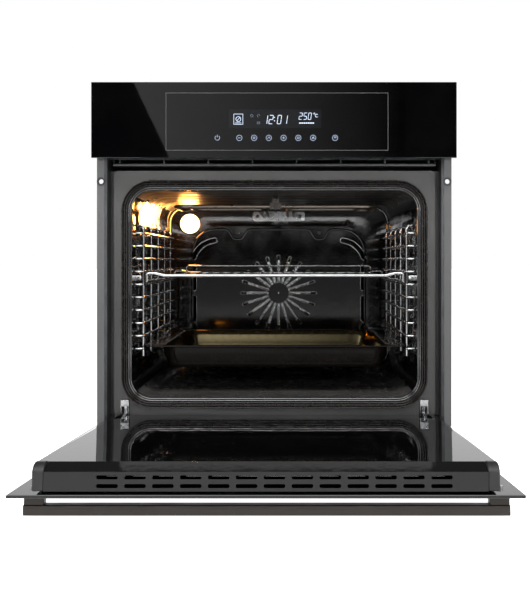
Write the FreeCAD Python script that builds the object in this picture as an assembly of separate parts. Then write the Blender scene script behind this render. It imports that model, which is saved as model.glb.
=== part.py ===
import FreeCAD, Part
import math
import os

# Built-in wall oven, door open. Millimetres, +Z up, front towards -Y.
# Origin: underside of the base, midway across, midway between cabinet front and rear panel.
# Depths called d are measured back from the front face of the control panel's glass.

V = FreeCAD.Vector
X_AXIS = V(1, 0, 0)
Y_AXIS = V(0, 1, 0)
Z_AXIS = V(0, 0, 1)

# ---- driving dimensions: the whole appliance ----
BODY_WIDTH = 556.0
BODY_DEPTH = 545.0
FRONT_HEIGHT = 595.0
BODY_TOP_DROP = 9.0
FLANGE_WIDTH = 15.0
GLASS_OVERHANG = 4.5
FRONT_STANDOFF = 22.0
SHEET = 1.2
FRONT_WIDTH = BODY_WIDTH + 2 * FLANGE_WIDTH + 2 * GLASS_OVERHANG
BODY_HEIGHT = FRONT_HEIGHT - BODY_TOP_DROP
HALF_BODY = BODY_WIDTH / 2
Y_FRONT = -BODY_DEPTH / 2 - FRONT_STANDOFF
D_CABINET = FRONT_STANDOFF
D_REAR = FRONT_STANDOFF + BODY_DEPTH

# ---- control panel ----
PANEL_HEIGHT = 123.5
PANEL_GLASS = 5.0
PANEL_BOTTOM = FRONT_HEIGHT - PANEL_HEIGHT
CARRIER_INSET = 7.0
CARRIER_WALL = 1.5
BOARD_LENGTH = 300.0
BOARD_HEIGHT = 62.0
BOARD_THICK = 1.6
BOARD_BOSS = 3.0

# ---- front frame, cavity and gasket ----
FRAME_SETBACK = 45.0
FRAME_SIDE_GAP = 8.0
FRAME_TOP_GAP = 16.5
FRAME_BOTTOM = 44.0
FRAME_RIM = 12.0
FRAME_CORNER = 8.0
CAVITY_SIDE_GAP = 38.0
MOUTH_TOP_MARGIN = 32.6
MOUTH_BOTTOM = 74.0
MOUTH_CORNER = 34.0
CAVITY_TAIL = 92.0
GASKET_MARGIN = 17.0
GASKET_WIDTH = 11.0
GASKET_DEPTH = 6.4
FRAME_WIDTH = BODY_WIDTH - 2 * FRAME_SIDE_GAP
FRAME_TOP = PANEL_BOTTOM - FRAME_TOP_GAP
MOUTH_WIDTH = BODY_WIDTH - 2 * CAVITY_SIDE_GAP
MOUTH_TOP = FRAME_TOP - MOUTH_TOP_MARGIN
HALF_MOUTH = MOUTH_WIDTH / 2
D_FRAME = FRAME_SETBACK
D_SHELL = D_FRAME + SHEET
D_BACK = D_REAR - CAVITY_TAIL

# ---- insulation and component bay ----
WOOL = 24.0
WOOL_CLEAR = 1.0
WOOL_CORNER_KEEP = 30.0
DECK_RISE = 3.0
DECK_Z = PANEL_BOTTOM + DECK_RISE
DUCT_HEIGHT = 12.3
DUCT_FRONT_D = 42.0
DUCT_BEAD = 2.6
DUCT_WALL = 1.0
RIB_COUNT = 8
RIB_PITCH = 74.0
RIB_THICK = 2.0
RIB_LENGTH = 26.0
BLOWER_HALF = 115.0
BLOWER_D = 242.0
BLOWER_RISE = 46.0
BLOWER_RADIUS = 33.0
BLOWER_WALL = 3.0
BLOWER_GAP = 4.0
BLOWER_BLADES = 24
BLOWER_SHAFT = 3.0
RUN_CLEAR = 0.05

# ---- door, drawn closed and then swung open about the hinge ----
DOOR_OPEN_DEG = 87.0
DOOR_TOP_GAP = 3.5
DOOR_BOTTOM = 12.0
DOOR_GLASS = 4.0
SHADOW_GAP = 3.5
DOOR_BOX_SIDE_CLEAR = 1.0
DOOR_THICK = 38.0
DOOR_BOX_BOTTOM = 20.0
TRIM_TOP_DROP = 2.5
TRIM_CHAMFER_DEPTH = 8.3
TRIM_CHAMFER_RUN = 20.0
TRIM_WALL = 1.5
SLOT_COLUMNS = 13
SLOT_LENGTH = 25.0
SLOT_WIDTH = 4.6
SLOT_PITCH = 32.0
SLOT_ROW_GAP = 9.9
SLOT_ROW_SHIFT = 9.8
CAP_WIDTH = 13.7
CAP_CREST = 1.2
CAP_TAIL = 4.0
PROFILE_WIDTH = 11.0
MIDDLE_GLASS_D = 19.0
BOTTOM_TRIM_HEIGHT = 12.0
DOOR_TOP = PANEL_BOTTOM - DOOR_TOP_GAP
HALF_GLASS = FRONT_WIDTH / 2
HALF_DOOR_BOX = FRAME_WIDTH / 2 - DOOR_BOX_SIDE_CLEAR
D_BOX = DOOR_GLASS + SHADOW_GAP
TRIM_TOP = DOOR_TOP - TRIM_TOP_DROP
INNER_GLASS_TOP = TRIM_TOP - TRIM_CHAMFER_RUN

# ---- handle ----
HANDLE_INSET = 10.5
HANDLE_DROP = 38.0
HANDLE_GAP = 14.5
HANDLE_THICK = 12.5
HANDLE_DEPTH = 16.0
HANDLE_ROUND = 2.0
POST_WIDTH = 24.0
POST_SCREW = 3.0
POST_SCREW_HEAD = 5.0

# ---- hinges ----
HINGE_D = 24.0
HINGE_Z = 33.5
HINGE_SIDE_MARGIN = 19.0
HINGE_PIN = 4.0
ARM_THICK = 5.0
ARM_EYE = 8.0
ARM_END_D = 112.0
ARM_LOW_Z = 42.0
ARM_STEP_D = 49.5
ARM_STEP_Z = 48.5
ARM_TOP_Z = 66.0
CHANNEL_WIDTH = 14.0
CHANNEL_WALL = 1.5
CHANNEL_FLOOR_D = 8.0
CHANNEL_LIP_D = 32.0
CHANNEL_LENGTH = 128.0
NOTCH_CLEAR = 1.0
NOTCH_TOP = 74.0
RECEIVER_WALL = 1.5
RECEIVER_START_D = 61.0
RECEIVER_END_D = 125.0
LOCK_D = 54.0
LOCK_Z = 60.0
LOCK_PIN = 2.5
LOCK_FACE_D = 42.0
LOCK_TOP = 70.6
LOCK_LOW = 47.0
SPRING_RADIUS = 4.6
SPRING_WIRE = 0.9
SPRING_PITCH = 3.0
SPRING_TURNS = 20
HINGE_X = FRAME_WIDTH / 2 - HINGE_SIDE_MARGIN

# ---- side racks, shelf and tray ----
COVER_DEPTH = 31.0
RUNG_COUNT = 10
RUNG_PITCH = 21.95
RUNG_RISE = 79.8
RUNG_RADIUS = 2.0
RACK_INSET = 18.0
RACK_FRONT_D = 68.0
RACK_REAR_D = 430.0
RACK_BEND = 6.0
WALL_STANDOFF = 2.5
POST_COUNT = 5
POST_RADIUS = 2.2
POST_OVERRUN = 14.0
POST_FRONT_OFFSET = 20.0
NUT_RADIUS = 7.0
RUNG_X = HALF_MOUTH - RACK_INSET + RUNG_RADIUS
POST_X = RUNG_X + RUNG_RADIUS + POST_RADIUS
SHELF_LEVEL = 5
SHELF_WIRE = 3.0
SHELF_FRONT_D = 84.0
SHELF_REAR_GAP = 10.0
SHELF_REAR_D = D_BACK - COVER_DEPTH - SHELF_REAR_GAP
SHELF_UNDER_RUNG = 12.45
SHELF_DROP = RUNG_PITCH - SHELF_UNDER_RUNG
SHELF_BARS = 18
SHELF_BAR_PITCH = 21.7
SHELF_BAR_RADIUS = 1.6
SHELF_HUMP = 8.0
HUMP_SHOULDER = 6.0
HUMP_FOOT = 22.0
RAIL_INSET = 10.0
RAIL_BEND = 4.5
STOP_WIRE = 2.0
STOP_BEND = 6.0
TIE_INSET = 14.0
TIE_BEND = 8.0
SHELF_STOP_RISE = 15.0
SHELF_STOP_INSET = 25.0
REST_GAP = 0.3
POST_CLEAR = 1.0
TRAY_FRONT_D = 76.0
TRAY_REAR_GAP = 6.0
TRAY_REAR_D = D_BACK - COVER_DEPTH - TRAY_REAR_GAP
TRAY_SHEET = 1.0
TRAY_DEPTH = 39.0
TRAY_SIDE_FLANGE = 27.0
TRAY_END_FLANGE = 8.0
TRAY_DRAFT = 9.0
TRAY_CORNER = 26.0
FIRST_RUNG_Z = MOUTH_BOTTOM + RUNG_RISE

# ---- heating, fan, lamp, probe ----
ELEMENT_TUBE = 3.3
ELEMENT_BEND = 20.0
ELEMENT_DROP = 21.4
ELEMENT_FRONT_D = 134.0
ELEMENT_REAR_D = 244.0
ELEMENT_SIDE_INSET = 60.0
FERRULE_INNER = 20.0
FERRULE_OUTER = 33.0
INNER_LOOP_INSET = 25.0
CLIP_WIDTH = 20.0
CLIP_WALL = 2.0
CLIP_FOOT = 14.0
ELEMENT_PLATE_W = 114.0
ELEMENT_PLATE_H = 21.0
ELEMENT_PLATE_T = 2.5
ELEMENT_PLATE_HOLE = 4.0
ELEMENT_HOLE_X = 46.0
FAN_Z = 235.0
FAN_RADIUS = 70.0
FAN_BLADES = 12
FAN_SHAFT = 4.0
FAN_DISC = 1.2
FAN_BLADE_DEPTH = 13.0
COVER_HALF = 193.0
COVER_TOP_MARGIN = 43.4
COVER_BOTTOM_MARGIN = 24.0
COVER_CORNER = 60.0
COVER_RAYS = 20
RAY_INNER = 22.0
RAY_OUTER = 82.0
RAY_WIDTH = 6.0
COVER_SCREW_X = 88.0
COVER_SCREW_DROP = 14.0
SIDE_SLOT_X = 181.0
SIDE_SLOT_W = 10.0
SIDE_SLOT_L = 57.0
SIDE_SLOT_GAP = 10.0
ARC_SLOT_X = 132.0
ARC_SLOT_INSET = 84.0
ARC_SLOT_RADIUS = 53.0
ARC_SLOT_WIDTH = 10.8
ARC_SLOT_START = 18.0
ARC_SLOT_END = 84.0
RING_RADIUS = 95.0
RING_TAIL_BEND = 8.0
MOTOR_RADIUS = 38.0
MOTOR_LENGTH = 56.0
LAMP_X_INSET = 46.0
LAMP_DROP = 37.4
LAMP_RADIUS = 21.0
LAMP_DOME = 13.0
LAMP_GLASS = 2.5
BULB_RADIUS = 10.0
SOCKET_DEPTH = 42.0
PROBE_X = 150.0
PROBE_RADIUS = 2.5
PROBE_LENGTH = 45.0
PROBE_DROP = 14.0

# ---- fixings and connections ----
BUSH_HOLE = 4.0
BUSH_NECK = 5.0
BUSH_COLLAR = 7.0
BUSH_COLLAR_T = 1.2
BUSH_BELOW_FRAME_TOP = 20.0
SCREW_HEAD = 4.0
SCREW_RISE = 2.2
GLAND_RADIUS = 6.0
GLAND_WALL = 3.0
GLAND_LENGTH = 8.0
TERMINAL_X = 180.0
TERMINAL_WIDTH = 60.0
TERMINAL_HEIGHT = 34.0
TERMINAL_DEPTH = 30.0
TERMINAL_RISE = 34.0

SIDES = (("left", -1), ("right", 1))


# ---- shape helpers ----
def point(x, d, z):
    """Point at side position x, depth d behind the glass plane and height z."""
    return V(x, Y_FRONT + d, z)


def block(x0, x1, d0, d1, z0, z1):
    """Box between two side positions, two depths and two heights."""
    low_x = min(x0, x1)
    return Part.makeBox(abs(x1 - x0), d1 - d0, z1 - z0, point(low_x, d0, z0))


def rod_x(x0, x1, d, z, radius):
    """Cylinder lying across the oven."""
    return Part.makeCylinder(radius, abs(x1 - x0), point(min(x0, x1), d, z), X_AXIS)


def rod_d(x, z, d0, d1, radius):
    """Cylinder lying front to back."""
    return Part.makeCylinder(radius, d1 - d0, point(x, d0, z), Y_AXIS)


def rod_z(x, d, z0, z1, radius):
    """Upright cylinder."""
    return Part.makeCylinder(radius, z1 - z0, point(x, d, z0), Z_AXIS)


def rounded_wire(points, radius):
    """Closed outline through points, each corner rounded by a tangent arc."""
    edges = []
    count = len(points)
    starts = []
    ends = []
    mids = []
    for i in range(count):
        before = (points[i - 1] - points[i]).normalize()
        after = (points[(i + 1) % count] - points[i]).normalize()
        half = before.getAngle(after) / 2
        reach = radius / math.tan(half)
        starts.append(points[i] + before * reach)
        ends.append(points[i] + after * reach)
        inward = (before + after).normalize()
        mids.append(points[i] + inward * (radius / math.sin(half) - radius))
    for i in range(count):
        edges.append(Part.Arc(starts[i], mids[i], ends[i]).toShape())
        edges.append(Part.LineSegment(ends[i], starts[(i + 1) % count]).toShape())
    return Part.Wire(edges)


def rounded_slab(half_width, z0, z1, radius, d0, d1, x_mid=0.0):
    """Upright slab with rounded corners, facing the front."""
    corners = [
        point(x_mid - half_width, d0, z0),
        point(x_mid + half_width, d0, z0),
        point(x_mid + half_width, d0, z1),
        point(x_mid - half_width, d0, z1),
    ]
    return Part.Face(rounded_wire(corners, radius)).extrude(V(0, d1 - d0, 0))


def flat_slab(half_width, d0, d1, radius, z0, z1):
    """Level slab with rounded corners."""
    corners = [
        point(-half_width, d0, z0),
        point(half_width, d0, z0),
        point(half_width, d1, z0),
        point(-half_width, d1, z0),
    ]
    return Part.Face(rounded_wire(corners, radius)).extrude(V(0, 0, z1 - z0))


def profile_across(points, x0, x1):
    """Side-view outline of (d, z) points drawn out across the oven."""
    low_x = min(x0, x1)
    outline = [point(low_x, d, z) for d, z in points]
    outline.append(outline[0])
    return Part.Face(Part.makePolygon(outline)).extrude(V(abs(x1 - x0), 0, 0))


def bent_tube(points, bend, radius):
    """Round bar along straight runs joined by tangent arcs; bend is one radius or one for each corner."""
    edges = []
    here = points[0]
    bends = bend if isinstance(bend, list) else [bend] * (len(points) - 2)
    for i in range(1, len(points) - 1):
        before = (points[i - 1] - points[i]).normalize()
        after = (points[i + 1] - points[i]).normalize()
        half = before.getAngle(after) / 2
        turn = bends[i - 1]
        reach = turn / math.tan(half)
        start = points[i] + before * reach
        end = points[i] + after * reach
        middle = points[i] + (before + after).normalize() * (turn / math.sin(half) - turn)
        edges.append(Part.LineSegment(here, start).toShape())
        edges.append(Part.Arc(start, middle, end).toShape())
        here = end
    edges.append(Part.LineSegment(here, points[-1]).toShape())
    path = Part.Wire(edges)
    direction = (points[1] - points[0]).normalize()
    section = Part.Wire([Part.Circle(points[0], direction, radius).toShape()])
    return path.makePipeShell([section], True, True)


def stadium(x_mid, z_mid, width, length, d0, d1):
    """Upright slot with round ends, as a cutting solid."""
    half_run = (length - width) / 2
    body = block(x_mid - width / 2, x_mid + width / 2, d0, d1, z_mid - half_run, z_mid + half_run)
    body = body.fuse(rod_d(x_mid, z_mid - half_run, d0, d1, width / 2))
    return body.fuse(rod_d(x_mid, z_mid + half_run, d0, d1, width / 2))


def fused(shapes):
    """One solid from touching or overlapping shapes."""
    first = shapes[0]
    whole = first.fuse(shapes[1:])
    return whole.removeSplitter()


def opened(shape):
    """Door piece swung from closed to open about the hinge pins."""
    turned = shape.copy()
    turned.rotate(point(0, HINGE_D, HINGE_Z), X_AXIS, DOOR_OPEN_DEG)
    return turned


def save(name, shape):
    """Write one node's STEP file."""
    shape.exportStep("parts/" + name + ".step")


# ---- chassis ----
def side_panel(side):
    """Bent side sheet: front flange, bevel and flat side, cut away where the door glass swings."""
    bevel = 3.0
    outer = HALF_BODY + FLANGE_WIDTH
    outline = [
        (outer, D_CABINET),
        (HALF_BODY + bevel, D_CABINET),
        (HALF_BODY - SHEET, D_CABINET + bevel),
        (HALF_BODY - SHEET, D_REAR - SHEET),
        (HALF_BODY, D_REAR - SHEET),
        (HALF_BODY, D_CABINET + bevel + SHEET),
        (HALF_BODY + bevel, D_CABINET + SHEET),
        (outer, D_CABINET + SHEET),
    ]
    loop = [point(side * x, d, 0) for x, d in outline]
    loop.append(loop[0])
    sheet = Part.Face(Part.makePolygon(loop)).extrude(V(0, 0, BODY_HEIGHT - SHEET))
    swing_back = D_FRAME + 8.0
    corner = block(side * (HALF_BODY - 2), side * (outer + 1), D_CABINET - 1, swing_back, -1, 30.0)
    hole = rod_d(side * bush_x(), bush_z(), D_CABINET - 1, D_CABINET + SHEET + 1, BUSH_NECK)
    return sheet.cut(corner).cut(hole)


def bush_x():
    """Side position of the cabinet fixing holes."""
    return HALF_BODY + FLANGE_WIDTH - BUSH_COLLAR


def bush_z():
    """Height of the cabinet fixing holes."""
    return FRAME_TOP - BUSH_BELOW_FRAME_TOP


def base_plate():
    """Bottom sheet with an upturned front edge behind the door's swing."""
    front = D_FRAME + 8.0
    inner = HALF_BODY - SHEET
    floor = block(-inner, inner, front, D_REAR - SHEET, 0, SHEET)
    lip = block(-inner, inner, front, front + SHEET, 0, FRAME_BOTTOM - 6)
    return fused([floor, lip])


def rear_panel():
    """Back sheet with an opening for the mains terminals."""
    sheet = block(-HALF_BODY, HALF_BODY, D_REAR - SHEET, D_REAR, 0, BODY_HEIGHT - SHEET)
    z_low = terminal_z()
    half = TERMINAL_WIDTH / 2
    window = block(
        TERMINAL_X - half, TERMINAL_X + half,
        D_REAR - 2 * SHEET, D_REAR + SHEET,
        z_low, z_low + TERMINAL_HEIGHT,
    )
    return sheet.cut(window)


def terminal_z():
    """Height of the underside of the mains terminals."""
    return DECK_Z + DUCT_WALL + TERMINAL_RISE


def top_panel():
    """Lid over the component bay."""
    lid = block(-HALF_BODY, HALF_BODY, D_CABINET + SHEET, D_REAR, BODY_HEIGHT - SHEET, BODY_HEIGHT)
    vents = []
    for i in range(9):
        x = (i - 4) * 22.0
        low = BODY_HEIGHT - 2 * SHEET
        vents.append(block(x - 3, x + 3, BLOWER_D - 30, BLOWER_D + 30, low, BODY_HEIGHT + 1))
    return lid.cut(vents)


def front_frame():
    """Enamelled frame around the mouth, turned back at its rim and out to the side panels."""
    half = FRAME_WIDTH / 2
    wide = HALF_BODY - SHEET
    rim_end = D_FRAME + FRAME_RIM
    outer = rounded_slab(half, FRAME_BOTTOM, FRAME_TOP, FRAME_CORNER, D_FRAME, rim_end)
    hollow = rounded_slab(
        half - SHEET, FRAME_BOTTOM + SHEET, FRAME_TOP - SHEET, FRAME_CORNER - SHEET,
        D_SHELL, rim_end,
    )
    lip = block(-wide, wide, rim_end - SHEET, rim_end, FRAME_BOTTOM, FRAME_TOP)
    lip_hole = rounded_slab(
        half - SHEET, FRAME_BOTTOM + SHEET, FRAME_TOP - SHEET, FRAME_CORNER - SHEET,
        rim_end - 2 * SHEET, rim_end + 1,
    )
    frame = fused([outer.cut(hollow), lip.cut(lip_hole)])
    mouth = rounded_slab(HALF_MOUTH, MOUTH_BOTTOM, MOUTH_TOP, MOUTH_CORNER, D_FRAME - 1, rim_end)
    frame = frame.cut(mouth)
    for _, side in SIDES:
        frame = frame.cut(hinge_slot(side, D_FRAME - 1, rim_end + 1, FRAME_BOTTOM - 1, NOTCH_TOP - 2))
    return frame


def hinge_slot(side, d0, d1, z0, z1):
    """Cutting block for whatever a hinge passes through."""
    half = CHANNEL_WIDTH / 2 + NOTCH_CLEAR
    return block(side * HINGE_X - half, side * HINGE_X + half, d0, d1, z0, z1)


def door_gasket():
    """Rubber seal round the mouth: a flat foot carrying a hollow bulb."""
    reach = GASKET_MARGIN
    outer = rounded_slab(
        HALF_MOUTH + reach, MOUTH_BOTTOM - reach, MOUTH_TOP + reach, MOUTH_CORNER + reach - 6,
        D_FRAME - GASKET_DEPTH, D_FRAME,
    )
    gap = reach - GASKET_WIDTH
    inner = rounded_slab(
        HALF_MOUTH + gap, MOUTH_BOTTOM - gap, MOUTH_TOP + gap, MOUTH_CORNER + gap - 2,
        D_FRAME - GASKET_DEPTH - 1, D_FRAME + 1,
    )
    ring = outer.cut(inner)
    for _, side in SIDES:
        ring = ring.cut(hinge_slot(side, D_FRAME - 9, D_FRAME + 1, FRAME_BOTTOM, NOTCH_TOP - 2))
    return ring


def cavity_shell():
    """Enamelled oven cavity: floor, sides and roof in one welded sheet."""
    outer = rounded_slab(
        HALF_MOUTH + SHEET, MOUTH_BOTTOM - SHEET, MOUTH_TOP + SHEET, MOUTH_CORNER + SHEET,
        D_SHELL, D_BACK,
    )
    inner = rounded_slab(HALF_MOUTH, MOUTH_BOTTOM, MOUTH_TOP, MOUTH_CORNER, D_SHELL - 1, D_BACK + 1)
    return outer.cut(inner)


def lamp_x():
    """Side position of the lamp."""
    return -(HALF_MOUTH - LAMP_X_INSET)


def lamp_z():
    """Height of the lamp."""
    return MOUTH_TOP - LAMP_DROP


def element_z():
    """Height of the grill element."""
    return MOUTH_TOP - ELEMENT_DROP


def probe_z():
    """Height of the temperature probe, under the grill element's rear run."""
    return element_z() - PROBE_DROP


def cavity_back_wall():
    """Rear wall of the cavity with holes for the fan shaft, lamp, elements and probe."""
    wall = rounded_slab(
        HALF_MOUTH + SHEET, MOUTH_BOTTOM - SHEET, MOUTH_TOP + SHEET, MOUTH_CORNER + SHEET,
        D_BACK, D_BACK + SHEET,
    )
    d0 = D_BACK - 1
    d1 = D_BACK + SHEET + 1
    holes = [
        rod_d(0, FAN_Z, d0, d1, 3 * FAN_SHAFT),
        rod_d(lamp_x(), lamp_z(), d0, d1, LAMP_RADIUS - 6),
        rod_d(PROBE_X, probe_z(), d0, d1, PROBE_RADIUS),
    ]
    for x in (-FERRULE_OUTER, -FERRULE_INNER, FERRULE_INNER, FERRULE_OUTER):
        holes.append(rod_d(x, element_z(), d0, d1, ELEMENT_TUBE))
    for x in (-2 * ELEMENT_TUBE, 2 * ELEMENT_TUBE):
        holes.append(rod_d(x, FAN_Z + RING_RADIUS, d0, d1, ELEMENT_TUBE))
    return wall.cut(holes)


def insulation_blanket():
    """Mineral wool slabs over, under, beside and behind the cavity."""
    clear = SHEET + WOOL_CLEAR
    side_in = HALF_MOUTH + clear
    side_out = side_in + WOOL
    top = MOUTH_TOP + clear
    d0 = D_FRAME + FRAME_RIM + WOOL_CLEAR
    d1 = D_BACK
    low = MOUTH_BOTTOM - clear - 2 * ELEMENT_TUBE
    slabs = [
        block(-side_in, side_in, d0, d1, top, top + WOOL),
        block(-HALF_MOUTH + MOUTH_CORNER, HALF_MOUTH - MOUTH_CORNER, d0, d1, low - WOOL, low),
        block(-side_out, -side_in, d0, d1, MOUTH_BOTTOM + WOOL_CORNER_KEEP, top),
        block(side_in, side_out, d0, d1, MOUTH_BOTTOM + WOOL_CORNER_KEEP, top),
    ]
    d_rear = D_BACK + SHEET + ELEMENT_PLATE_T
    rear = block(-HALF_MOUTH, HALF_MOUTH, d_rear, d_rear + WOOL, MOUTH_BOTTOM, MOUTH_TOP)
    openings = [
        rod_d(0, FAN_Z, d_rear - 1, d_rear + WOOL + 1, MOTOR_RADIUS + 2),
        rod_d(lamp_x(), lamp_z(), d_rear - 1, d_rear + WOOL + 1, LAMP_RADIUS),
        rod_d(PROBE_X, probe_z(), d_rear - 1, d_rear + WOOL + 1, 2 * PROBE_RADIUS),
        block(-60, 60, d_rear - 1, d_rear + WOOL + 1, element_z() - 12, MOUTH_TOP + 1),
        block(-16, 16, d_rear - 1, d_rear + WOOL + 1, FAN_Z + RING_RADIUS - 10, FAN_Z + RING_RADIUS + 10),
    ]
    slabs.append(rear.cut(openings))
    return Part.makeCompound(slabs)


# ---- control panel and component bay ----
def control_panel_glass():
    """Black glass front of the control panel."""
    half = FRONT_WIDTH / 2
    pane = block(-half, half, 0, PANEL_GLASS, PANEL_BOTTOM, FRONT_HEIGHT)
    return pane.makeChamfer(0.6, pane.Edges)


def control_panel_carrier():
    """Pressed tray behind the glass, screwed to the flanges."""
    half = FRONT_WIDTH / 2 - CARRIER_INSET
    z0 = PANEL_BOTTOM + CARRIER_INSET
    z1 = FRONT_HEIGHT - BODY_TOP_DROP
    tray = block(-half, half, PANEL_GLASS, D_CABINET, z0, z1)
    wall = CARRIER_WALL
    hollow = block(-half + wall, half - wall, PANEL_GLASS + wall, D_CABINET + 1, z0 + wall, z1 - wall)
    low = board_z() + 12
    high = board_z() + BOARD_HEIGHT - 6
    window = block(-92, 92, PANEL_GLASS - 1, PANEL_GLASS + wall + 1, low, high)
    bosses = []
    for x in (-BOARD_LENGTH / 2 + 8, BOARD_LENGTH / 2 - 8):
        for z in (board_z() + 6, board_z() + BOARD_HEIGHT - 6):
            bosses.append(rod_d(x, z, PANEL_GLASS + wall - 0.5, board_d(), BOARD_BOSS))
    return fused([tray.cut(hollow).cut(window)] + bosses)


def board_d():
    """Depth of the display board's front."""
    return PANEL_GLASS + CARRIER_WALL + 2.5


def board_z():
    """Height of the display board's lower edge."""
    return PANEL_BOTTOM + 22.0


def display_board():
    """Touch and display circuit board with its lamp modules."""
    half = BOARD_LENGTH / 2
    d0 = board_d()
    board = block(-half, half, d0, d0 + BOARD_THICK, board_z(), board_z() + BOARD_HEIGHT)
    module = block(-75, 79, PANEL_GLASS, d0, board_z() + 24, board_z() + BOARD_HEIGHT - 8)
    connector = block(100, 130, d0 + BOARD_THICK, d0 + BOARD_THICK + 7, board_z() + 10, board_z() + 20)
    return fused([board, module, connector])


def component_deck():
    """Shelf that carries the boards and the cooling blower, slotted over the duct."""
    half = HALF_BODY - SHEET
    deck = block(-half, half, D_FRAME, D_REAR - SHEET, DECK_Z, DECK_Z + DUCT_WALL)
    near, far = blower_throat()
    slot = block(-BLOWER_HALF + 4, BLOWER_HALF - 4, near, far, DECK_Z - 1, DECK_Z + 2)
    return deck.cut(slot)


def blower_throat():
    """Front and rear depth of the blower's outlet throat."""
    back = BLOWER_D - BLOWER_RADIUS + 14.0
    return (back - 24.0, back)


def air_outlet_duct():
    """Cooling-air duct: floor with a rolled front edge, side walls and guide ribs."""
    half = FRAME_WIDTH / 2
    floor_z = DECK_Z - DUCT_HEIGHT
    end = blower_throat()[1] + 4
    floor = block(-half, half, DUCT_FRONT_D, end, floor_z, floor_z + DUCT_WALL)
    bead = rod_x(-half, half, DUCT_FRONT_D, floor_z + DUCT_BEAD, DUCT_BEAD)
    rear = block(-half, half, end - DUCT_WALL, end, floor_z, DECK_Z)
    pieces = [floor, bead, rear]
    for _, side in SIDES:
        inner = side * (half - DUCT_WALL)
        pieces.append(block(inner, side * half, D_FRAME, end, floor_z, DECK_Z))
    for i in range(RIB_COUNT):
        x = (i - (RIB_COUNT - 1) / 2) * RIB_PITCH
        rib = block(x - RIB_THICK / 2, x + RIB_THICK / 2, D_FRAME - 4, D_FRAME + RIB_LENGTH, floor_z, DECK_Z)
        pieces.append(rib)
    return fused(pieces)


def blower_z():
    """Height of the cooling blower's axle."""
    return DECK_Z + DUCT_WALL + BLOWER_RISE


def blower_housing():
    """Scroll box of the cooling blower with its throat down to the duct and an inlet at the rear."""
    reach = BLOWER_RADIUS + BLOWER_GAP
    wall = BLOWER_WALL
    z0 = DECK_Z + DUCT_WALL
    top = blower_z() + reach + wall
    shell = block(-BLOWER_HALF, BLOWER_HALF, BLOWER_D - reach - wall, BLOWER_D + reach + wall, z0, top)
    room = rod_x(-BLOWER_HALF + wall, BLOWER_HALF - wall, BLOWER_D, blower_z(), reach)
    throat = block(
        -BLOWER_HALF + wall + 1, BLOWER_HALF - wall - 1,
        blower_throat()[0], blower_throat()[1], z0 - 1, blower_z(),
    )
    inlet = block(
        -BLOWER_HALF + 12, BLOWER_HALF - 12,
        BLOWER_D + 8, BLOWER_D + reach + wall + 1, blower_z() - 12, blower_z() + 20,
    )
    bore = rod_x(-BLOWER_HALF - 1, BLOWER_HALF + 1, BLOWER_D, blower_z(), BLOWER_SHAFT + RUN_CLEAR)
    return shell.cut(room).cut(throat).cut(inlet).cut(bore)


def blower_wheel():
    """Drum wheel: two discs, a ring of blades and the axle."""
    end = BLOWER_HALF - BLOWER_WALL - 1.5
    z = blower_z()
    pieces = [rod_x(-BLOWER_HALF - 6, BLOWER_HALF + 14, BLOWER_D, z, BLOWER_SHAFT)]
    for x in (-end, -1, end - 2):
        pieces.append(rod_x(x, x + 2, BLOWER_D, z, BLOWER_RADIUS))
    blade = block(-end, end, BLOWER_D - 0.6, BLOWER_D + 0.6, z + BLOWER_RADIUS - 8, z + BLOWER_RADIUS)
    for i in range(BLOWER_BLADES):
        one = blade.copy()
        one.rotate(point(0, BLOWER_D, z), X_AXIS, 360.0 * i / BLOWER_BLADES)
        pieces.append(one)
    return fused(pieces)


def blower_motor():
    """Motor on the end of the blower housing."""
    z = blower_z()
    start = BLOWER_HALF
    body = rod_x(start, start + 44, BLOWER_D, z, 26)
    foot = block(start, start + 30, BLOWER_D - 18, BLOWER_D + 18, DECK_Z + DUCT_WALL, z)
    bore = rod_x(start - 1, start + 24, BLOWER_D, z, BLOWER_SHAFT + RUN_CLEAR)
    return fused([body, foot]).cut(bore)


def power_board():
    """Mains board on pillars with its relays, transformer and capacitors."""
    z0 = DECK_Z + DUCT_WALL
    board_low = z0 + 7
    board_top = board_low + BOARD_THICK
    x0 = -250.0
    pieces = [block(x0, x0 + 110, 90, 250, board_low, board_top)]
    for x in (x0 + 8, x0 + 102):
        for d in (98, 242):
            pieces.append(rod_z(x, d, z0, board_low, 3))
    for i in range(5):
        pieces.append(block(x0 + 12, x0 + 30, 104 + i * 27, 126 + i * 27, board_top, board_top + 15))
    pieces.append(block(x0 + 56, x0 + 98, 180, 226, board_top, board_top + 32))
    for i in range(3):
        pieces.append(rod_z(x0 + 52 + i * 18, 120, board_top, board_top + 22, 7))
    return fused(pieces)


def terminal_block():
    """Mains terminal block standing on the deck behind the rear window."""
    half = TERMINAL_WIDTH / 2 - 1
    d1 = D_REAR
    z0 = terminal_z() + 1
    d0 = d1 - TERMINAL_DEPTH
    body = block(TERMINAL_X - half, TERMINAL_X + half, d0, d1 - 2, z0, z0 + TERMINAL_HEIGHT - 2)
    leg = block(TERMINAL_X - half, TERMINAL_X + half, d0, d0 + 3, DECK_Z + DUCT_WALL, z0)
    cuts = []
    for i in range(5):
        x = TERMINAL_X - half + 6 + i * 11.5
        cuts.append(rod_z(x, d1 - 14, z0 + 12, z0 + TERMINAL_HEIGHT, 2.6))
    return fused([body, leg]).cut(cuts)


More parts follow.
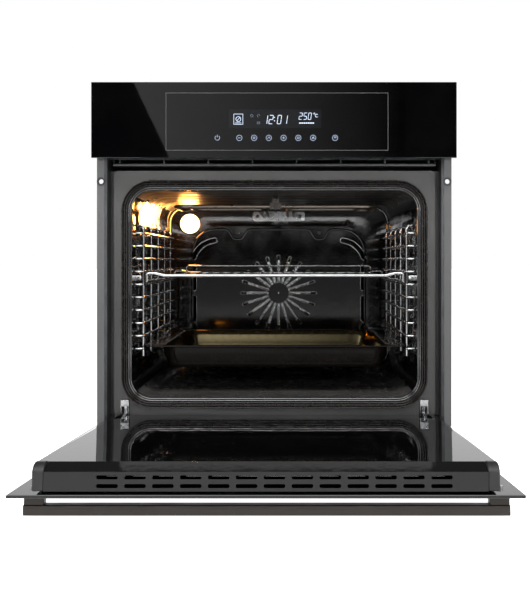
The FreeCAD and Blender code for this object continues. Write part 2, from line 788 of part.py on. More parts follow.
def terminal_cover():
    """Cover over the terminal window, with the cable gland."""
    half = TERMINAL_WIDTH / 2 + 8
    z0 = terminal_z() - 8
    z1 = terminal_z() + TERMINAL_HEIGHT + 8
    z_mid = (z0 + z1) / 2
    plate = block(TERMINAL_X - half, TERMINAL_X + half, D_REAR, D_REAR + 2, z0, z1)
    gland = rod_d(TERMINAL_X, z_mid, D_REAR, D_REAR + 2 + GLAND_LENGTH, GLAND_RADIUS + GLAND_WALL)
    hole = rod_d(TERMINAL_X, z_mid, D_REAR - 1, D_REAR + 3 + GLAND_LENGTH, GLAND_RADIUS)
    return fused([plate, gland]).cut(hole)


# ---- inside the cavity ----
def rung_z(level):
    """Height of one rung's centre."""
    return FIRST_RUNG_Z + level * RUNG_PITCH


def side_rack(side):
    """Chromed ladder of rungs welded to uprights."""
    wall_x = side * (HALF_MOUTH - WALL_STANDOFF)
    rung_x = side * RUNG_X
    post_x = side * POST_X
    pieces = []
    for level in range(RUNG_COUNT):
        z = rung_z(level)
        route = [
            point(wall_x, RACK_FRONT_D, z),
            point(rung_x, RACK_FRONT_D, z),
            point(rung_x, RACK_REAR_D, z),
            point(wall_x, RACK_REAR_D, z),
        ]
        pieces.append(bent_tube(route, RACK_BEND, RUNG_RADIUS))
    z0 = rung_z(0) - POST_OVERRUN
    z1 = rung_z(RUNG_COUNT - 1) + POST_OVERRUN
    for d in rack_posts():
        hook = [point(post_x, d, z0), point(post_x, d, z1), point(wall_x, d, z1)]
        pieces.append(bent_tube(hook, RACK_BEND, POST_RADIUS))
    return fused(pieces)


def rack_posts():
    """Depths of a rack's uprights."""
    first = RACK_FRONT_D + POST_FRONT_OFFSET
    last = RACK_REAR_D - POST_FRONT_OFFSET
    return [first + (last - first) * i / (POST_COUNT - 1) for i in range(POST_COUNT)]


def rack_nuts():
    """Knurled nuts that hold the racks to the cavity sides."""
    nuts = []
    z = rung_z(RUNG_COUNT // 2) + RUNG_PITCH / 2
    for _, side in SIDES:
        for d in (rack_posts()[0], rack_posts()[-1]):
            nuts.append(rod_x(side * (POST_X + POST_RADIUS), side * HALF_MOUTH, d, z, NUT_RADIUS))
    return Part.makeCompound(nuts)


def wire_shelf():
    """Chromed wire shelf: side runners, raised front and rear rails, bars and a rear stop."""
    runner_z = rung_z(SHELF_LEVEL) + RUNG_RADIUS + REST_GAP + SHELF_WIRE
    runner_x = POST_X - POST_RADIUS - POST_CLEAR - SHELF_WIRE
    top_z = runner_z + SHELF_DROP
    rail_x = runner_x - RAIL_INSET
    pieces = []
    for _, side in SIDES:
        pieces.append(rod_d(side * runner_x, runner_z, SHELF_FRONT_D, SHELF_REAR_D, SHELF_WIRE))
    for d, rise in ((SHELF_FRONT_D, SHELF_HUMP), (SHELF_REAR_D, SHELF_HUMP)):
        route = [
            point(-runner_x, d, runner_z),
            point(-runner_x, d, top_z + rise * 0.5),
            point(-rail_x + HUMP_SHOULDER, d, top_z + rise * 0.5),
            point(-rail_x + HUMP_FOOT, d, top_z),
            point(rail_x - HUMP_FOOT, d, top_z),
            point(rail_x - HUMP_SHOULDER, d, top_z + rise * 0.5),
            point(runner_x, d, top_z + rise * 0.5),
            point(runner_x, d, runner_z),
        ]
        pieces.append(bent_tube(route, RAIL_BEND, SHELF_WIRE))
        for _, side in SIDES:
            pieces.append(Part.makeSphere(SHELF_WIRE, point(side * runner_x, d, runner_z)))
    middle = (SHELF_FRONT_D + SHELF_REAR_D) / 2
    under = top_z - SHELF_WIRE
    route = [
        point(-runner_x, middle, runner_z),
        point(-runner_x + TIE_INSET, middle, under),
        point(runner_x - TIE_INSET, middle, under),
        point(runner_x, middle, runner_z),
    ]
    pieces.append(bent_tube(route, TIE_BEND, STOP_WIRE))
    for i in range(SHELF_BARS):
        x = (i - (SHELF_BARS - 1) / 2) * SHELF_BAR_PITCH
        pieces.append(rod_d(x, top_z, SHELF_FRONT_D, SHELF_REAR_D, SHELF_BAR_RADIUS))
    stop_x = runner_x - SHELF_STOP_INSET
    route = [
        point(-stop_x, SHELF_REAR_D, top_z),
        point(-stop_x, SHELF_REAR_D, top_z + SHELF_STOP_RISE),
        point(stop_x, SHELF_REAR_D, top_z + SHELF_STOP_RISE),
        point(stop_x, SHELF_REAR_D, top_z),
    ]
    pieces.append(bent_tube(route, STOP_BEND, STOP_WIRE))
    return fused(pieces)


def tray_form(shrink, bottom_z, top_z):
    """Tapered pan with rounded corners, as a solid."""
    half = POST_X - POST_RADIUS - POST_CLEAR - TRAY_SIDE_FLANGE - shrink
    d0 = TRAY_FRONT_D + TRAY_END_FLANGE + shrink
    d1 = TRAY_REAR_D - TRAY_END_FLANGE - shrink
    wires = []
    for z, draft in ((top_z, 0.0), (bottom_z, TRAY_DRAFT)):
        corners = [
            point(-half + draft, d0 + draft, z),
            point(half - draft, d0 + draft, z),
            point(half - draft, d1 - draft, z),
            point(-half + draft, d1 - draft, z),
        ]
        wires.append(rounded_wire(corners, TRAY_CORNER - shrink))
    return Part.makeLoft(wires, True, True)


def baking_tray():
    """Deep enamelled tray hung by its side flanges on the lowest rungs."""
    flange_z = rung_z(0) + RUNG_RADIUS + REST_GAP
    top = flange_z + TRAY_SHEET
    floor_z = top - TRAY_DEPTH
    wide = POST_X - POST_RADIUS - POST_CLEAR
    rim = flat_slab(wide, TRAY_FRONT_D, TRAY_REAR_D, 6.0, flange_z, top)
    bead = flat_slab(wide, TRAY_FRONT_D, TRAY_REAR_D, 6.0, top, top + 1.4)
    bead = bead.cut(flat_slab(wide - 2.4, TRAY_FRONT_D + 2.4, TRAY_REAR_D - 2.4, 4.0, top - 1, top + 3))
    pan = tray_form(0.0, floor_z, top)
    hollow = tray_form(TRAY_SHEET, floor_z + TRAY_SHEET, top + 0.001)
    throat = flat_slab(
        wide - TRAY_SIDE_FLANGE - TRAY_SHEET,
        TRAY_FRONT_D + TRAY_END_FLANGE + TRAY_SHEET, TRAY_REAR_D - TRAY_END_FLANGE - TRAY_SHEET,
        TRAY_CORNER - TRAY_SHEET, top, top + 3,
    )
    return fused([rim, bead, pan]).cut(hollow).cut(throat)


def grill_element():
    """Outer and inner heating loops under the roof."""
    z = element_z()
    d_wall = D_BACK + SHEET + ELEMENT_PLATE_T
    loops = []
    outer_x = HALF_MOUTH - ELEMENT_SIDE_INSET
    inset = INNER_LOOP_INSET
    specs = (
        (FERRULE_OUTER, outer_x, ELEMENT_FRONT_D, ELEMENT_REAR_D),
        (FERRULE_INNER, outer_x - inset, ELEMENT_FRONT_D + inset, ELEMENT_REAR_D - inset),
    )
    for start_x, side_x, front, back in specs:
        route = [
            point(-start_x, d_wall, z),
            point(-start_x, back, z),
            point(-side_x, back, z),
            point(-side_x, front, z),
            point(side_x, front, z),
            point(side_x, back, z),
            point(start_x, back, z),
            point(start_x, d_wall, z),
        ]
        loops.append(bent_tube(route, ELEMENT_BEND, ELEMENT_TUBE))
    return Part.makeCompound(loops)


def element_clip():
    """Bracket that hangs the front of the grill element from the roof."""
    z = element_z()
    half = CLIP_WIDTH / 2
    low = z - ELEMENT_TUBE - CLIP_WALL
    body = block(-half, half, ELEMENT_FRONT_D - 6, ELEMENT_FRONT_D + 6, low, z + ELEMENT_TUBE + CLIP_WALL)
    stem = block(-half + 4, half - 4, ELEMENT_FRONT_D + 4, ELEMENT_FRONT_D + 6, z, MOUTH_TOP)
    near = ELEMENT_FRONT_D + 4
    foot = block(-half + 4, half - 4, near, near + CLIP_FOOT, MOUTH_TOP - CLIP_WALL, MOUTH_TOP)
    hole = rod_x(-half - 1, half + 1, ELEMENT_FRONT_D, z, ELEMENT_TUBE)
    return fused([body, stem, foot]).cut(hole)


def element_flange():
    """Plate on the rear wall that carries the element ends in ferrules."""
    z = element_z()
    half = ELEMENT_PLATE_W / 2
    plate = rounded_slab(
        half, z - ELEMENT_PLATE_H / 2, z + ELEMENT_PLATE_H / 2, 6.0,
        D_BACK - ELEMENT_PLATE_T, D_BACK,
    )
    pieces = [plate]
    ends = (-FERRULE_OUTER, -FERRULE_INNER, FERRULE_INNER, FERRULE_OUTER)
    for x in ends:
        pieces.append(rod_d(x, z, D_BACK - 9, D_BACK - ELEMENT_PLATE_T, 5.2))
    whole = fused(pieces)
    cuts = []
    for x in ends:
        cuts.append(rod_d(x, z, D_BACK - 10, D_BACK + 1, ELEMENT_TUBE))
    for x in (-ELEMENT_HOLE_X, ELEMENT_HOLE_X):
        cuts.append(rod_d(x, z, D_BACK - 10, D_BACK + 1, ELEMENT_PLATE_HOLE))
    return whole.cut(cuts)


def bottom_element():
    """Lower heating loop clamped under the cavity floor."""
    z = MOUTH_BOTTOM - SHEET - ELEMENT_TUBE
    half = HALF_MOUTH - ELEMENT_SIDE_INSET
    route = [
        point(-24, D_BACK + 6, z),
        point(-24, D_BACK - 60, z),
        point(-half, D_BACK - 60, z),
        point(-half, ELEMENT_FRONT_D, z),
        point(half, ELEMENT_FRONT_D, z),
        point(half, D_BACK - 60, z),
        point(24, D_BACK - 60, z),
        point(24, D_BACK + 6, z),
    ]
    return bent_tube(route, ELEMENT_BEND, ELEMENT_TUBE)


def ring_d():
    """Depth of the ring element."""
    return D_BACK - 14.0


def ring_element():
    """Ring heater round the convection fan, with its two tails through the wall."""
    d = ring_d()
    tail_x = 2 * ELEMENT_TUBE
    d_end = D_BACK + SHEET + ELEMENT_PLATE_T
    top = FAN_Z + RING_RADIUS
    low = FAN_Z - RING_RADIUS
    route = [
        point(-tail_x, d_end, top),
        point(-tail_x, d, top),
        point(-RING_RADIUS, d, top),
        point(-RING_RADIUS, d, low),
        point(RING_RADIUS, d, low),
        point(RING_RADIUS, d, top),
        point(tail_x, d, top),
        point(tail_x, d_end, top),
    ]
    wide = RING_RADIUS - 2 * RING_TAIL_BEND
    bends = [RING_TAIL_BEND, wide, wide, wide, wide, RING_TAIL_BEND]
    return bent_tube(route, bends, ELEMENT_TUBE)


def cover_top():
    """Height of the fan cover's top edge."""
    return MOUTH_TOP - COVER_TOP_MARGIN


def arc_slot(x, z, side, rise, d0, d1):
    """Curved slot with round ends round a centre: an arc in the quarter towards side and rise."""
    def at(radius, degrees):
        angle = math.radians(degrees)
        return point(x + side * radius * math.cos(angle), d0, z + rise * radius * math.sin(angle))

    inner = ARC_SLOT_RADIUS - ARC_SLOT_WIDTH / 2
    outer = ARC_SLOT_RADIUS + ARC_SLOT_WIDTH / 2
    start = ARC_SLOT_START
    end = ARC_SLOT_END
    middle = (start + end) / 2
    bulge = math.degrees(ARC_SLOT_WIDTH / 2 / ARC_SLOT_RADIUS)
    edges = [
        Part.Arc(at(inner, start), at(inner, middle), at(inner, end)).toShape(),
        Part.Arc(at(inner, end), at(ARC_SLOT_RADIUS, end + bulge), at(outer, end)).toShape(),
        Part.Arc(at(outer, end), at(outer, middle), at(outer, start)).toShape(),
        Part.Arc(at(outer, start), at(ARC_SLOT_RADIUS, start - bulge), at(inner, start)).toShape(),
    ]
    return Part.Face(Part.Wire(edges)).extrude(point(0, d1, 0) - point(0, d0, 0))


def fan_cover():
    """Pressed cover over the fan: sunburst inlet, side outlets and screw lugs."""
    d0 = D_BACK - COVER_DEPTH
    z0 = MOUTH_BOTTOM + COVER_BOTTOM_MARGIN
    z1 = cover_top()
    shell = rounded_slab(COVER_HALF, z0, z1, COVER_CORNER, d0, D_BACK)
    hollow = rounded_slab(
        COVER_HALF - SHEET, z0 + SHEET, z1 - SHEET, COVER_CORNER - SHEET, d0 + SHEET, D_BACK + 1,
    )
    cover = shell.cut(hollow)
    cuts = []
    length = RAY_OUTER - RAY_INNER
    ray = stadium(0, FAN_Z + RAY_INNER + length / 2, RAY_WIDTH, length, d0 - 1, d0 + SHEET + 1)
    for i in range(COVER_RAYS):
        one = ray.copy()
        one.rotate(point(0, 0, FAN_Z), Y_AXIS, 360.0 * i / COVER_RAYS)
        cuts.append(one)
    for _, side in SIDES:
        for step in (-0.5, 0.5):
            z = FAN_Z + step * (SIDE_SLOT_L + SIDE_SLOT_GAP)
            cuts.append(stadium(side * SIDE_SLOT_X, z, SIDE_SLOT_W, SIDE_SLOT_L, d0 - 1, d0 + SHEET + 1))
        for z, rise in ((z1 - ARC_SLOT_INSET, 1), (z0 + ARC_SLOT_INSET, -1)):
            cuts.append(arc_slot(side * ARC_SLOT_X, z, side, rise, d0 - 1, d0 + SHEET + 1))
    cuts.append(rod_d(0, FAN_Z, d0 - 1, d0 + SHEET + 1, 2.0))
    for x in (-COVER_SCREW_X, COVER_SCREW_X):
        cuts.append(rod_d(x, z1 - COVER_SCREW_DROP, d0 - 1, d0 + SHEET + 1, 2.0))
    return cover.cut(cuts)


def fan_cover_screws():
    """Screws through the cover with their pillars on the rear wall."""
    d0 = D_BACK - COVER_DEPTH
    screws = []
    for x in (-COVER_SCREW_X, COVER_SCREW_X):
        z = cover_top() - COVER_SCREW_DROP
        head = rod_d(x, z, d0 - SCREW_RISE, d0, SCREW_HEAD)
        slot = block(x - SCREW_HEAD, x + SCREW_HEAD, d0 - SCREW_RISE - 1, d0 - 1.2, z - 0.6, z + 0.6)
        shank = rod_d(x, z, d0 - 0.5, D_BACK, 2.0)
        screws.append(fused([head.cut(slot), shank]))
    return Part.makeCompound(screws)


def convection_fan():
    """Fan wheel on its shaft: a disc with swept blades standing forward."""
    d_disc = D_BACK - 6.0
    pieces = [
        rod_d(0, FAN_Z, d_disc, d_disc + FAN_DISC, FAN_RADIUS),
        rod_d(0, FAN_Z, d_disc - FAN_BLADE_DEPTH, motor_d() + 20, FAN_SHAFT),
        rod_d(0, FAN_Z, d_disc - FAN_BLADE_DEPTH, d_disc + FAN_DISC, 2.2 * FAN_SHAFT),
    ]
    blade = block(
        -0.6, 0.6, d_disc - FAN_BLADE_DEPTH, d_disc + 0.5,
        FAN_Z + 24, FAN_Z + FAN_RADIUS - 3,
    )
    blade.rotate(point(0, 0, FAN_Z + FAN_RADIUS - 3), Y_AXIS, 24)
    for i in range(FAN_BLADES):
        one = blade.copy()
        one.rotate(point(0, 0, FAN_Z), Y_AXIS, 360.0 * i / FAN_BLADES)
        pieces.append(one)
    return fused(pieces)


def motor_d():
    """Depth of the fan motor's front face."""
    return D_BACK + SHEET


def fan_motor():
    """Convection fan motor with its bearing nose and mounting feet."""
    d0 = motor_d()
    nose = rod_d(0, FAN_Z, d0, d0 + 12, 16)
    body = rod_d(0, FAN_Z, d0 + 12, d0 + MOTOR_LENGTH, MOTOR_RADIUS)
    feet = []
    for x in (-26, 26):
        feet.append(rod_d(x, FAN_Z, d0, d0 + 13, 4))
    bore = rod_d(0, FAN_Z, d0 - 1, d0 + 22, FAN_SHAFT + RUN_CLEAR)
    return fused([nose, body] + feet).cut(bore)


def lamp_lens():
    """Domed glass cover of the lamp."""
    x = lamp_x()
    z = lamp_z()
    sphere_r = (LAMP_RADIUS ** 2 + LAMP_DOME ** 2) / (2 * LAMP_DOME)
    centre = point(x, D_BACK - LAMP_DOME + sphere_r, z)
    ball = Part.makeSphere(sphere_r, centre)
    core = Part.makeSphere(sphere_r - LAMP_GLASS, centre)
    room = rod_d(x, z, D_BACK - LAMP_DOME - 2, D_BACK, LAMP_RADIUS)
    rim = rod_d(x, z, D_BACK - 3, D_BACK, LAMP_RADIUS)
    rim = rim.cut(rod_d(x, z, D_BACK - 4, D_BACK + 1, LAMP_RADIUS - LAMP_GLASS))
    dome = ball.common(room).cut(core)
    return fused([dome, rim])


def lamp_bulb():
    """Small capsule lamp standing in the socket."""
    x = lamp_x()
    z = lamp_z()
    glass = Part.makeSphere(BULB_RADIUS, point(x, D_BACK + 1, z))
    neck = rod_d(x, z, D_BACK + 1, D_BACK + 22, 7)
    return fused([glass, neck])


def lamp_socket():
    """Ceramic lamp holder behind the rear wall."""
    x = lamp_x()
    z = lamp_z()
    d0 = D_BACK + SHEET
    cup = rod_d(x, z, d0, d0 + SOCKET_DEPTH, LAMP_RADIUS - 2)
    room = rod_d(x, z, d0 - 1, D_BACK + 22, LAMP_RADIUS - 7)
    flange = rod_d(x, z, d0, d0 + 2, LAMP_RADIUS)
    flange = flange.cut(rod_d(x, z, d0 - 1, d0 + 3, LAMP_RADIUS - 7))
    return fused([cup.cut(room), flange])


def temperature_probe():
    """Oven temperature sensor: a thin rod through the rear wall with its collar."""
    z = probe_z()
    rod = rod_d(PROBE_X, z, D_BACK - PROBE_LENGTH, D_BACK + 30, PROBE_RADIUS)
    tip = Part.makeSphere(PROBE_RADIUS, point(PROBE_X, D_BACK - PROBE_LENGTH, z))
    collar = rod_d(PROBE_X, z, D_BACK - 3, D_BACK, 7)
    return fused([rod, tip, collar])


# ---- hinges ----
def hinge_receiver(side):
    """Steel sleeve behind the frame that the hinge arm hooks into."""
    half = CHANNEL_WIDTH / 2 + NOTCH_CLEAR
    x = side * HINGE_X
    wall = RECEIVER_WALL
    z0 = ARM_LOW_Z - wall
    z1 = ARM_TOP_Z + 3.0
    sleeve = block(x - half, x + half, RECEIVER_START_D, RECEIVER_END_D, z0, z1)
    room = block(x - half + wall, x + half - wall, D_SHELL, RECEIVER_END_D - wall, ARM_LOW_Z, z1 - wall)
    foot = block(x - wall / 2, x + wall / 2, RECEIVER_START_D, RECEIVER_END_D, SHEET, z0)
    return fused([sleeve.cut(room), foot])


def hinge_arm(side):
    """Steel lever from the receiver down to the door's pivot pin."""
    x0 = side * HINGE_X - ARM_THICK / 2
    x1 = side * HINGE_X + ARM_THICK / 2
    outline = [
        (HINGE_D - 5.0, HINGE_Z + 6.2),
        (HINGE_D + 5.5, HINGE_Z - 5.8),
        (D_FRAME, ARM_LOW_Z - 2.0),
        (D_FRAME + 6.0, ARM_LOW_Z),
        (ARM_END_D, ARM_LOW_Z),
        (ARM_END_D, ARM_TOP_Z - 8.0),
        (ARM_END_D - 20.0, ARM_TOP_Z),
        (ARM_STEP_D, ARM_TOP_Z),
        (ARM_STEP_D, ARM_STEP_Z),
        (D_FRAME - 5.0, ARM_STEP_Z - 0.5),
    ]
    bar = profile_across(outline, x0, x1)
    eye = rod_x(x0, x1, HINGE_D, HINGE_Z, ARM_EYE)
    arm = fused([bar, eye])
    arm = arm.cut(rod_x(x0 - 1, x1 + 1, HINGE_D, HINGE_Z, HINGE_PIN))
    return arm.cut(rod_x(x0 - 1, x1 + 1, LOCK_D, LOCK_Z, LOCK_PIN))


def hinge_pins():
    """Pivot pins of the door and of the lock levers."""
    pins = []
    reach = CHANNEL_WIDTH / 2
    for _, side in SIDES:
        x = side * HINGE_X
        pins.append(rod_x(x - reach, x + reach, HINGE_D, HINGE_Z, HINGE_PIN))
        pins.append(rod_x(x - reach, x + reach, LOCK_D, LOCK_Z, LOCK_PIN))
    return Part.makeCompound(pins)


def hinge_lock(side):
    """Flip-over lever that locks the hinge when the door is taken off."""
    x = side * HINGE_X
    half = CHANNEL_WIDTH / 2
    outline = [
        (LOCK_FACE_D, LOCK_LOW),
        (LOCK_FACE_D + 6.0, LOCK_LOW),
        (LOCK_D + 4.0, LOCK_Z - 4.0),
        (LOCK_D + 4.0, LOCK_Z + 4.0),
        (LOCK_FACE_D + 6.0, LOCK_TOP),
        (LOCK_FACE_D, LOCK_TOP),
    ]
    web = block(x - half, x + half, LOCK_FACE_D, LOCK_FACE_D + CHANNEL_WALL, LOCK_Z, LOCK_TOP)
    pieces = [web]
    pieces.append(profile_across(outline, x - half, x - half + CHANNEL_WALL))
    pieces.append(profile_across(outline, x + half - CHANNEL_WALL, x + half))
    hole = rod_x(x - half - 1, x + half + 1, LOCK_D, LOCK_Z, LOCK_PIN + RUN_CLEAR)
    return fused(pieces).cut(hole)


def hinge_channel(side):
    """Channel inside the door that carries the pivot and the spring."""
    x = side * HINGE_X
    half = CHANNEL_WIDTH / 2
    wall = CHANNEL_WALL
    z0 = DOOR_BOX_BOTTOM + 2.0
    z1 = z0 + CHANNEL_LENGTH
    outer = block(x - half, x + half, CHANNEL_FLOOR_D, CHANNEL_LIP_D, z0, z1)
    half_room = half - wall
    room = block(x - half_room, x + half_room, CHANNEL_FLOOR_D + wall, CHANNEL_LIP_D + 1, z0 - 1, z1 - wall)
    hole = rod_x(x - half - 1, x + half + 1, HINGE_D, HINGE_Z, HINGE_PIN + RUN_CLEAR)
    return outer.cut(room).cut(hole)


def hinge_springs():
    """Tension springs laid in the channels."""
    springs = []
    height = SPRING_PITCH * SPRING_TURNS
    z0 = DOOR_BOX_BOTTOM + 2.0 + CHANNEL_LENGTH - CHANNEL_WALL - height - 1.5
    for _, side in SIDES:
        helix = Part.makeHelix(SPRING_PITCH, height, SPRING_RADIUS - SPRING_WIRE)
        helix = Part.Wire(helix.Edges)
        start = V(SPRING_RADIUS - SPRING_WIRE, 0, 0)
        section = Part.Wire([Part.Circle(start, Y_AXIS, SPRING_WIRE).toShape()])
        coil = helix.makePipeShell([section], True, True)
        coil.translate(point(side * HINGE_X, CHANNEL_FLOOR_D + CHANNEL_WALL + SPRING_RADIUS, z0))
        springs.append(coil)
    return Part.makeCompound(springs)


# ---- door, drawn closed ----
def door_outer_glass():
    """Full-width black front glass with eased edges."""
    pane = block(-HALF_GLASS, HALF_GLASS, 0, DOOR_GLASS, DOOR_BOTTOM, DOOR_TOP)
    pane = pane.makeChamfer(0.6, pane.Edges)
    return pane.cut(post_screw_holes(-1, DOOR_GLASS + 1))


def post_screw_holes(d0, d1):
    """Clearance holes for the handle screws."""
    return [rod_d(side * post_x(), handle_z(), d0, d1, POST_SCREW) for _, side in SIDES]


def handle_z():
    """Height of the handle's centre on the closed door."""
    return DOOR_TOP - HANDLE_DROP


def post_x():
    """Side position of a handle post's centre."""
    return HALF_GLASS - HANDLE_INSET - POST_WIDTH / 2


def door_middle_glass():
    """Heat-reflecting pane between the outer and inner glass."""
    half = HINGE_X - CHANNEL_WIDTH / 2 - 3.0
    z0 = DOOR_BOX_BOTTOM + BOTTOM_TRIM_HEIGHT
    return block(-half, half, MIDDLE_GLASS_D, MIDDLE_GLASS_D + DOOR_GLASS, z0, INNER_GLASS_TOP - 6)


def door_inner_glass():
    """Inner pane, notched at the bottom for the hinge arms."""
    d0 = DOOR_THICK - DOOR_GLASS
    pane = block(-HALF_DOOR_BOX, HALF_DOOR_BOX, d0, DOOR_THICK, DOOR_BOX_BOTTOM, INNER_GLASS_TOP)
    pane = pane.makeChamfer(0.5, pane.Edges)
    for _, side in SIDES:
        pane = pane.cut(hinge_slot(side, d0 - 1, DOOR_THICK + 1, DOOR_BOX_BOTTOM - 1, NOTCH_TOP))
    return pane


def door_side_profile(side):
    """Steel profile down one side of the door, with a foot on the outer glass."""
    x1 = side * HALF_DOOR_BOX
    x0 = side * (HALF_DOOR_BOX - PROFILE_WIDTH)
    z1 = INNER_GLASS_TOP - CAP_TAIL
    bar = block(x0, x1, D_BOX, DOOR_THICK - DOOR_GLASS, DOOR_BOX_BOTTOM, z1)
    foot = block(x0, side * (HALF_DOOR_BOX - 5.0), DOOR_GLASS, D_BOX, DOOR_BOX_BOTTOM, z1)
    web_x = side * (HALF_DOOR_BOX - PROFILE_WIDTH + 1.5)
    room = block(x0, x1, D_BOX + 6, DOOR_THICK - DOOR_GLASS - 6, DOOR_BOX_BOTTOM + 150, z1 - 20)
    keep = block(x0, web_x, D_BOX, DOOR_THICK - DOOR_GLASS, DOOR_BOX_BOTTOM, z1)
    outer = block(side * (HALF_DOOR_BOX - 1.5), x1, D_BOX, DOOR_THICK - DOOR_GLASS, DOOR_BOX_BOTTOM, z1)
    hollow = room.cut(keep).cut(outer)
    return fused([bar, foot]).cut(hollow)


def trim_half():
    """Half width of the top trim between its end caps."""
    return HALF_DOOR_BOX - CAP_WIDTH


def door_top_trim():
    """Vented strip along the top of the door, two rows of slots in its edge."""
    chamfer_d = DOOR_THICK - TRIM_CHAMFER_DEPTH
    back_z = INNER_GLASS_TOP
    wall = TRIM_WALL
    outline = [
        (D_BOX, back_z),
        (D_BOX, TRIM_TOP),
        (chamfer_d, TRIM_TOP),
        (DOOR_THICK, back_z),
        (DOOR_THICK - DOOR_GLASS, back_z),
        (DOOR_THICK - DOOR_GLASS, back_z - CAP_TAIL),
        (DOOR_THICK - DOOR_GLASS - wall, back_z - CAP_TAIL),
        (DOOR_THICK - DOOR_GLASS - wall, back_z + wall),
        (chamfer_d - 0.4 * wall, TRIM_TOP - wall),
        (D_BOX + wall, TRIM_TOP - wall),
        (D_BOX + wall, back_z),
    ]
    strip = profile_across(outline, -trim_half(), trim_half())
    foot = block(-trim_half(), trim_half(), DOOR_GLASS, D_BOX, back_z, back_z + 6)
    strip = fused([strip, foot])
    first = D_BOX + (chamfer_d - D_BOX - SLOT_ROW_GAP) / 2
    cuts = []
    for row in range(2):
        d = first + row * SLOT_ROW_GAP
        for i in range(SLOT_COLUMNS):
            x = SLOT_ROW_SHIFT + (i - (SLOT_COLUMNS - 1) / 2) * SLOT_PITCH
            half = (SLOT_LENGTH - SLOT_WIDTH) / 2
            near = d - SLOT_WIDTH / 2
            far = d + SLOT_WIDTH / 2
            cuts.append(block(x - half, x + half, near, far, TRIM_TOP - 3, TRIM_TOP + 1))
            for end in (x - half, x + half):
                cuts.append(rod_z(end, d, TRIM_TOP - 3, TRIM_TOP + 1, SLOT_WIDTH / 2))
    return strip.cut(cuts)


def door_end_caps():
    """Moulded caps that close the ends of the top trim."""
    caps = []
    crest = DOOR_THICK + CAP_CREST
    outline = [
        (D_BOX, INNER_GLASS_TOP - CAP_TAIL),
        (D_BOX, TRIM_TOP),
        (crest - TRIM_CHAMFER_DEPTH, TRIM_TOP),
        (crest - 2.0, TRIM_TOP - 6.0),
        (crest, TRIM_TOP - 12.0),
        (crest, TRIM_TOP - TRIM_CHAMFER_RUN),
        (DOOR_THICK, TRIM_TOP - TRIM_CHAMFER_RUN),
        (DOOR_THICK - DOOR_GLASS, TRIM_TOP - TRIM_CHAMFER_RUN),
        (DOOR_THICK - DOOR_GLASS, INNER_GLASS_TOP - CAP_TAIL),
    ]
    for _, side in SIDES:
        caps.append(profile_across(outline, side * trim_half(), side * HALF_DOOR_BOX))
    return Part.makeCompound(caps)


def door_bottom_trim():
    """Strip that closes the bottom of the door between the hinges."""
    half = HINGE_X - CHANNEL_WIDTH / 2 - NOTCH_CLEAR
    z0 = DOOR_BOX_BOTTOM
    z1 = z0 + BOTTOM_TRIM_HEIGHT
    strip = block(-half, half, DOOR_GLASS, DOOR_THICK - DOOR_GLASS, z0, z1)
    room = block(-half - 1, half + 1, D_BOX + 2, DOOR_THICK - DOOR_GLASS - 2, z0 + 2, z1 + 1)
    seat = block(-half, half, MIDDLE_GLASS_D - 2, MIDDLE_GLASS_D + DOOR_GLASS + 2, z0 + 1, z1)
    return fused([strip.cut(room), seat])


def handle_bar():
    """Bar handle, flat with eased edges, level with the ends of its posts."""
    half = HALF_GLASS - HANDLE_INSET
    z = handle_z()
    d1 = -HANDLE_GAP
    bar = block(-half, half, d1 - HANDLE_THICK, d1, z - HANDLE_DEPTH / 2, z + HANDLE_DEPTH / 2)
    along = [edge for edge in bar.Edges if abs(edge.Length - 2 * half) < 0.01]
    return bar.makeFillet(HANDLE_ROUND, along)


def handle_posts():
    """Two posts that hold the bar off the glass."""
    posts = []
    z = handle_z()
    half = HANDLE_DEPTH / 2 - HANDLE_ROUND
    for _, side in SIDES:
        x0 = post_x() - POST_WIDTH / 2
        x1 = post_x() + POST_WIDTH / 2
        post = block(side * x0, side * x1, -HANDLE_GAP, 0, z - half, z + half)
        upright = [e for e in post.Edges if abs(e.Length - HANDLE_GAP) < 0.01]
        post = post.makeFillet(HANDLE_ROUND, upright)
        posts.append(post.cut(rod_d(side * post_x(), z, -HANDLE_GAP, 1, POST_SCREW)))
    return Part.makeCompound(posts)


def handle_screws():
    """Screws through the outer glass into the handle posts."""
    screws = []
    z = handle_z()
    for _, side in SIDES:
        x = side * post_x()
        shank = rod_d(x, z, -HANDLE_GAP, DOOR_GLASS, POST_SCREW)
        head = rod_d(x, z, DOOR_GLASS, DOOR_GLASS + 3.0, POST_SCREW_HEAD)
        screws.append(fused([shank, head]))
    return Part.makeCompound(screws)


# ---- fixings ----
def mount_bushings():
    """Bushings in the flange holes for the screws into the cabinet."""
    bushes = []
    z = bush_z()
    for _, side in SIDES:
        x = side * bush_x()
        collar = rod_d(x, z, D_CABINET - BUSH_COLLAR_T, D_CABINET, BUSH_COLLAR)
        neck = rod_d(x, z, D_CABINET - BUSH_COLLAR_T, D_CABINET + SHEET + 1.5, BUSH_NECK)
        hole = rod_d(x, z, D_CABINET - 3, D_CABINET + 5, BUSH_HOLE)
        bushes.append(fused([collar, neck]).cut(hole))
    return Part.makeCompound(bushes)


def chassis_screws():
    """Sheet-metal screws of the rear panel and the lid."""
    screws = []
    edge = 14.0
    for x in (-HALF_BODY + edge, 0, HALF_BODY - edge):
        for z in (edge, BODY_HEIGHT - edge):
            screws.append(rod_d(x, z, D_REAR, D_REAR + SCREW_RISE, SCREW_HEAD))
    for x in (-HALF_BODY + edge, HALF_BODY - edge):
        for d in (D_CABINET + 60, D_REAR - 60):
            screws.append(rod_z(x, d, BODY_HEIGHT, BODY_HEIGHT + SCREW_RISE, SCREW_HEAD))
    return Part.makeCompound(screws)


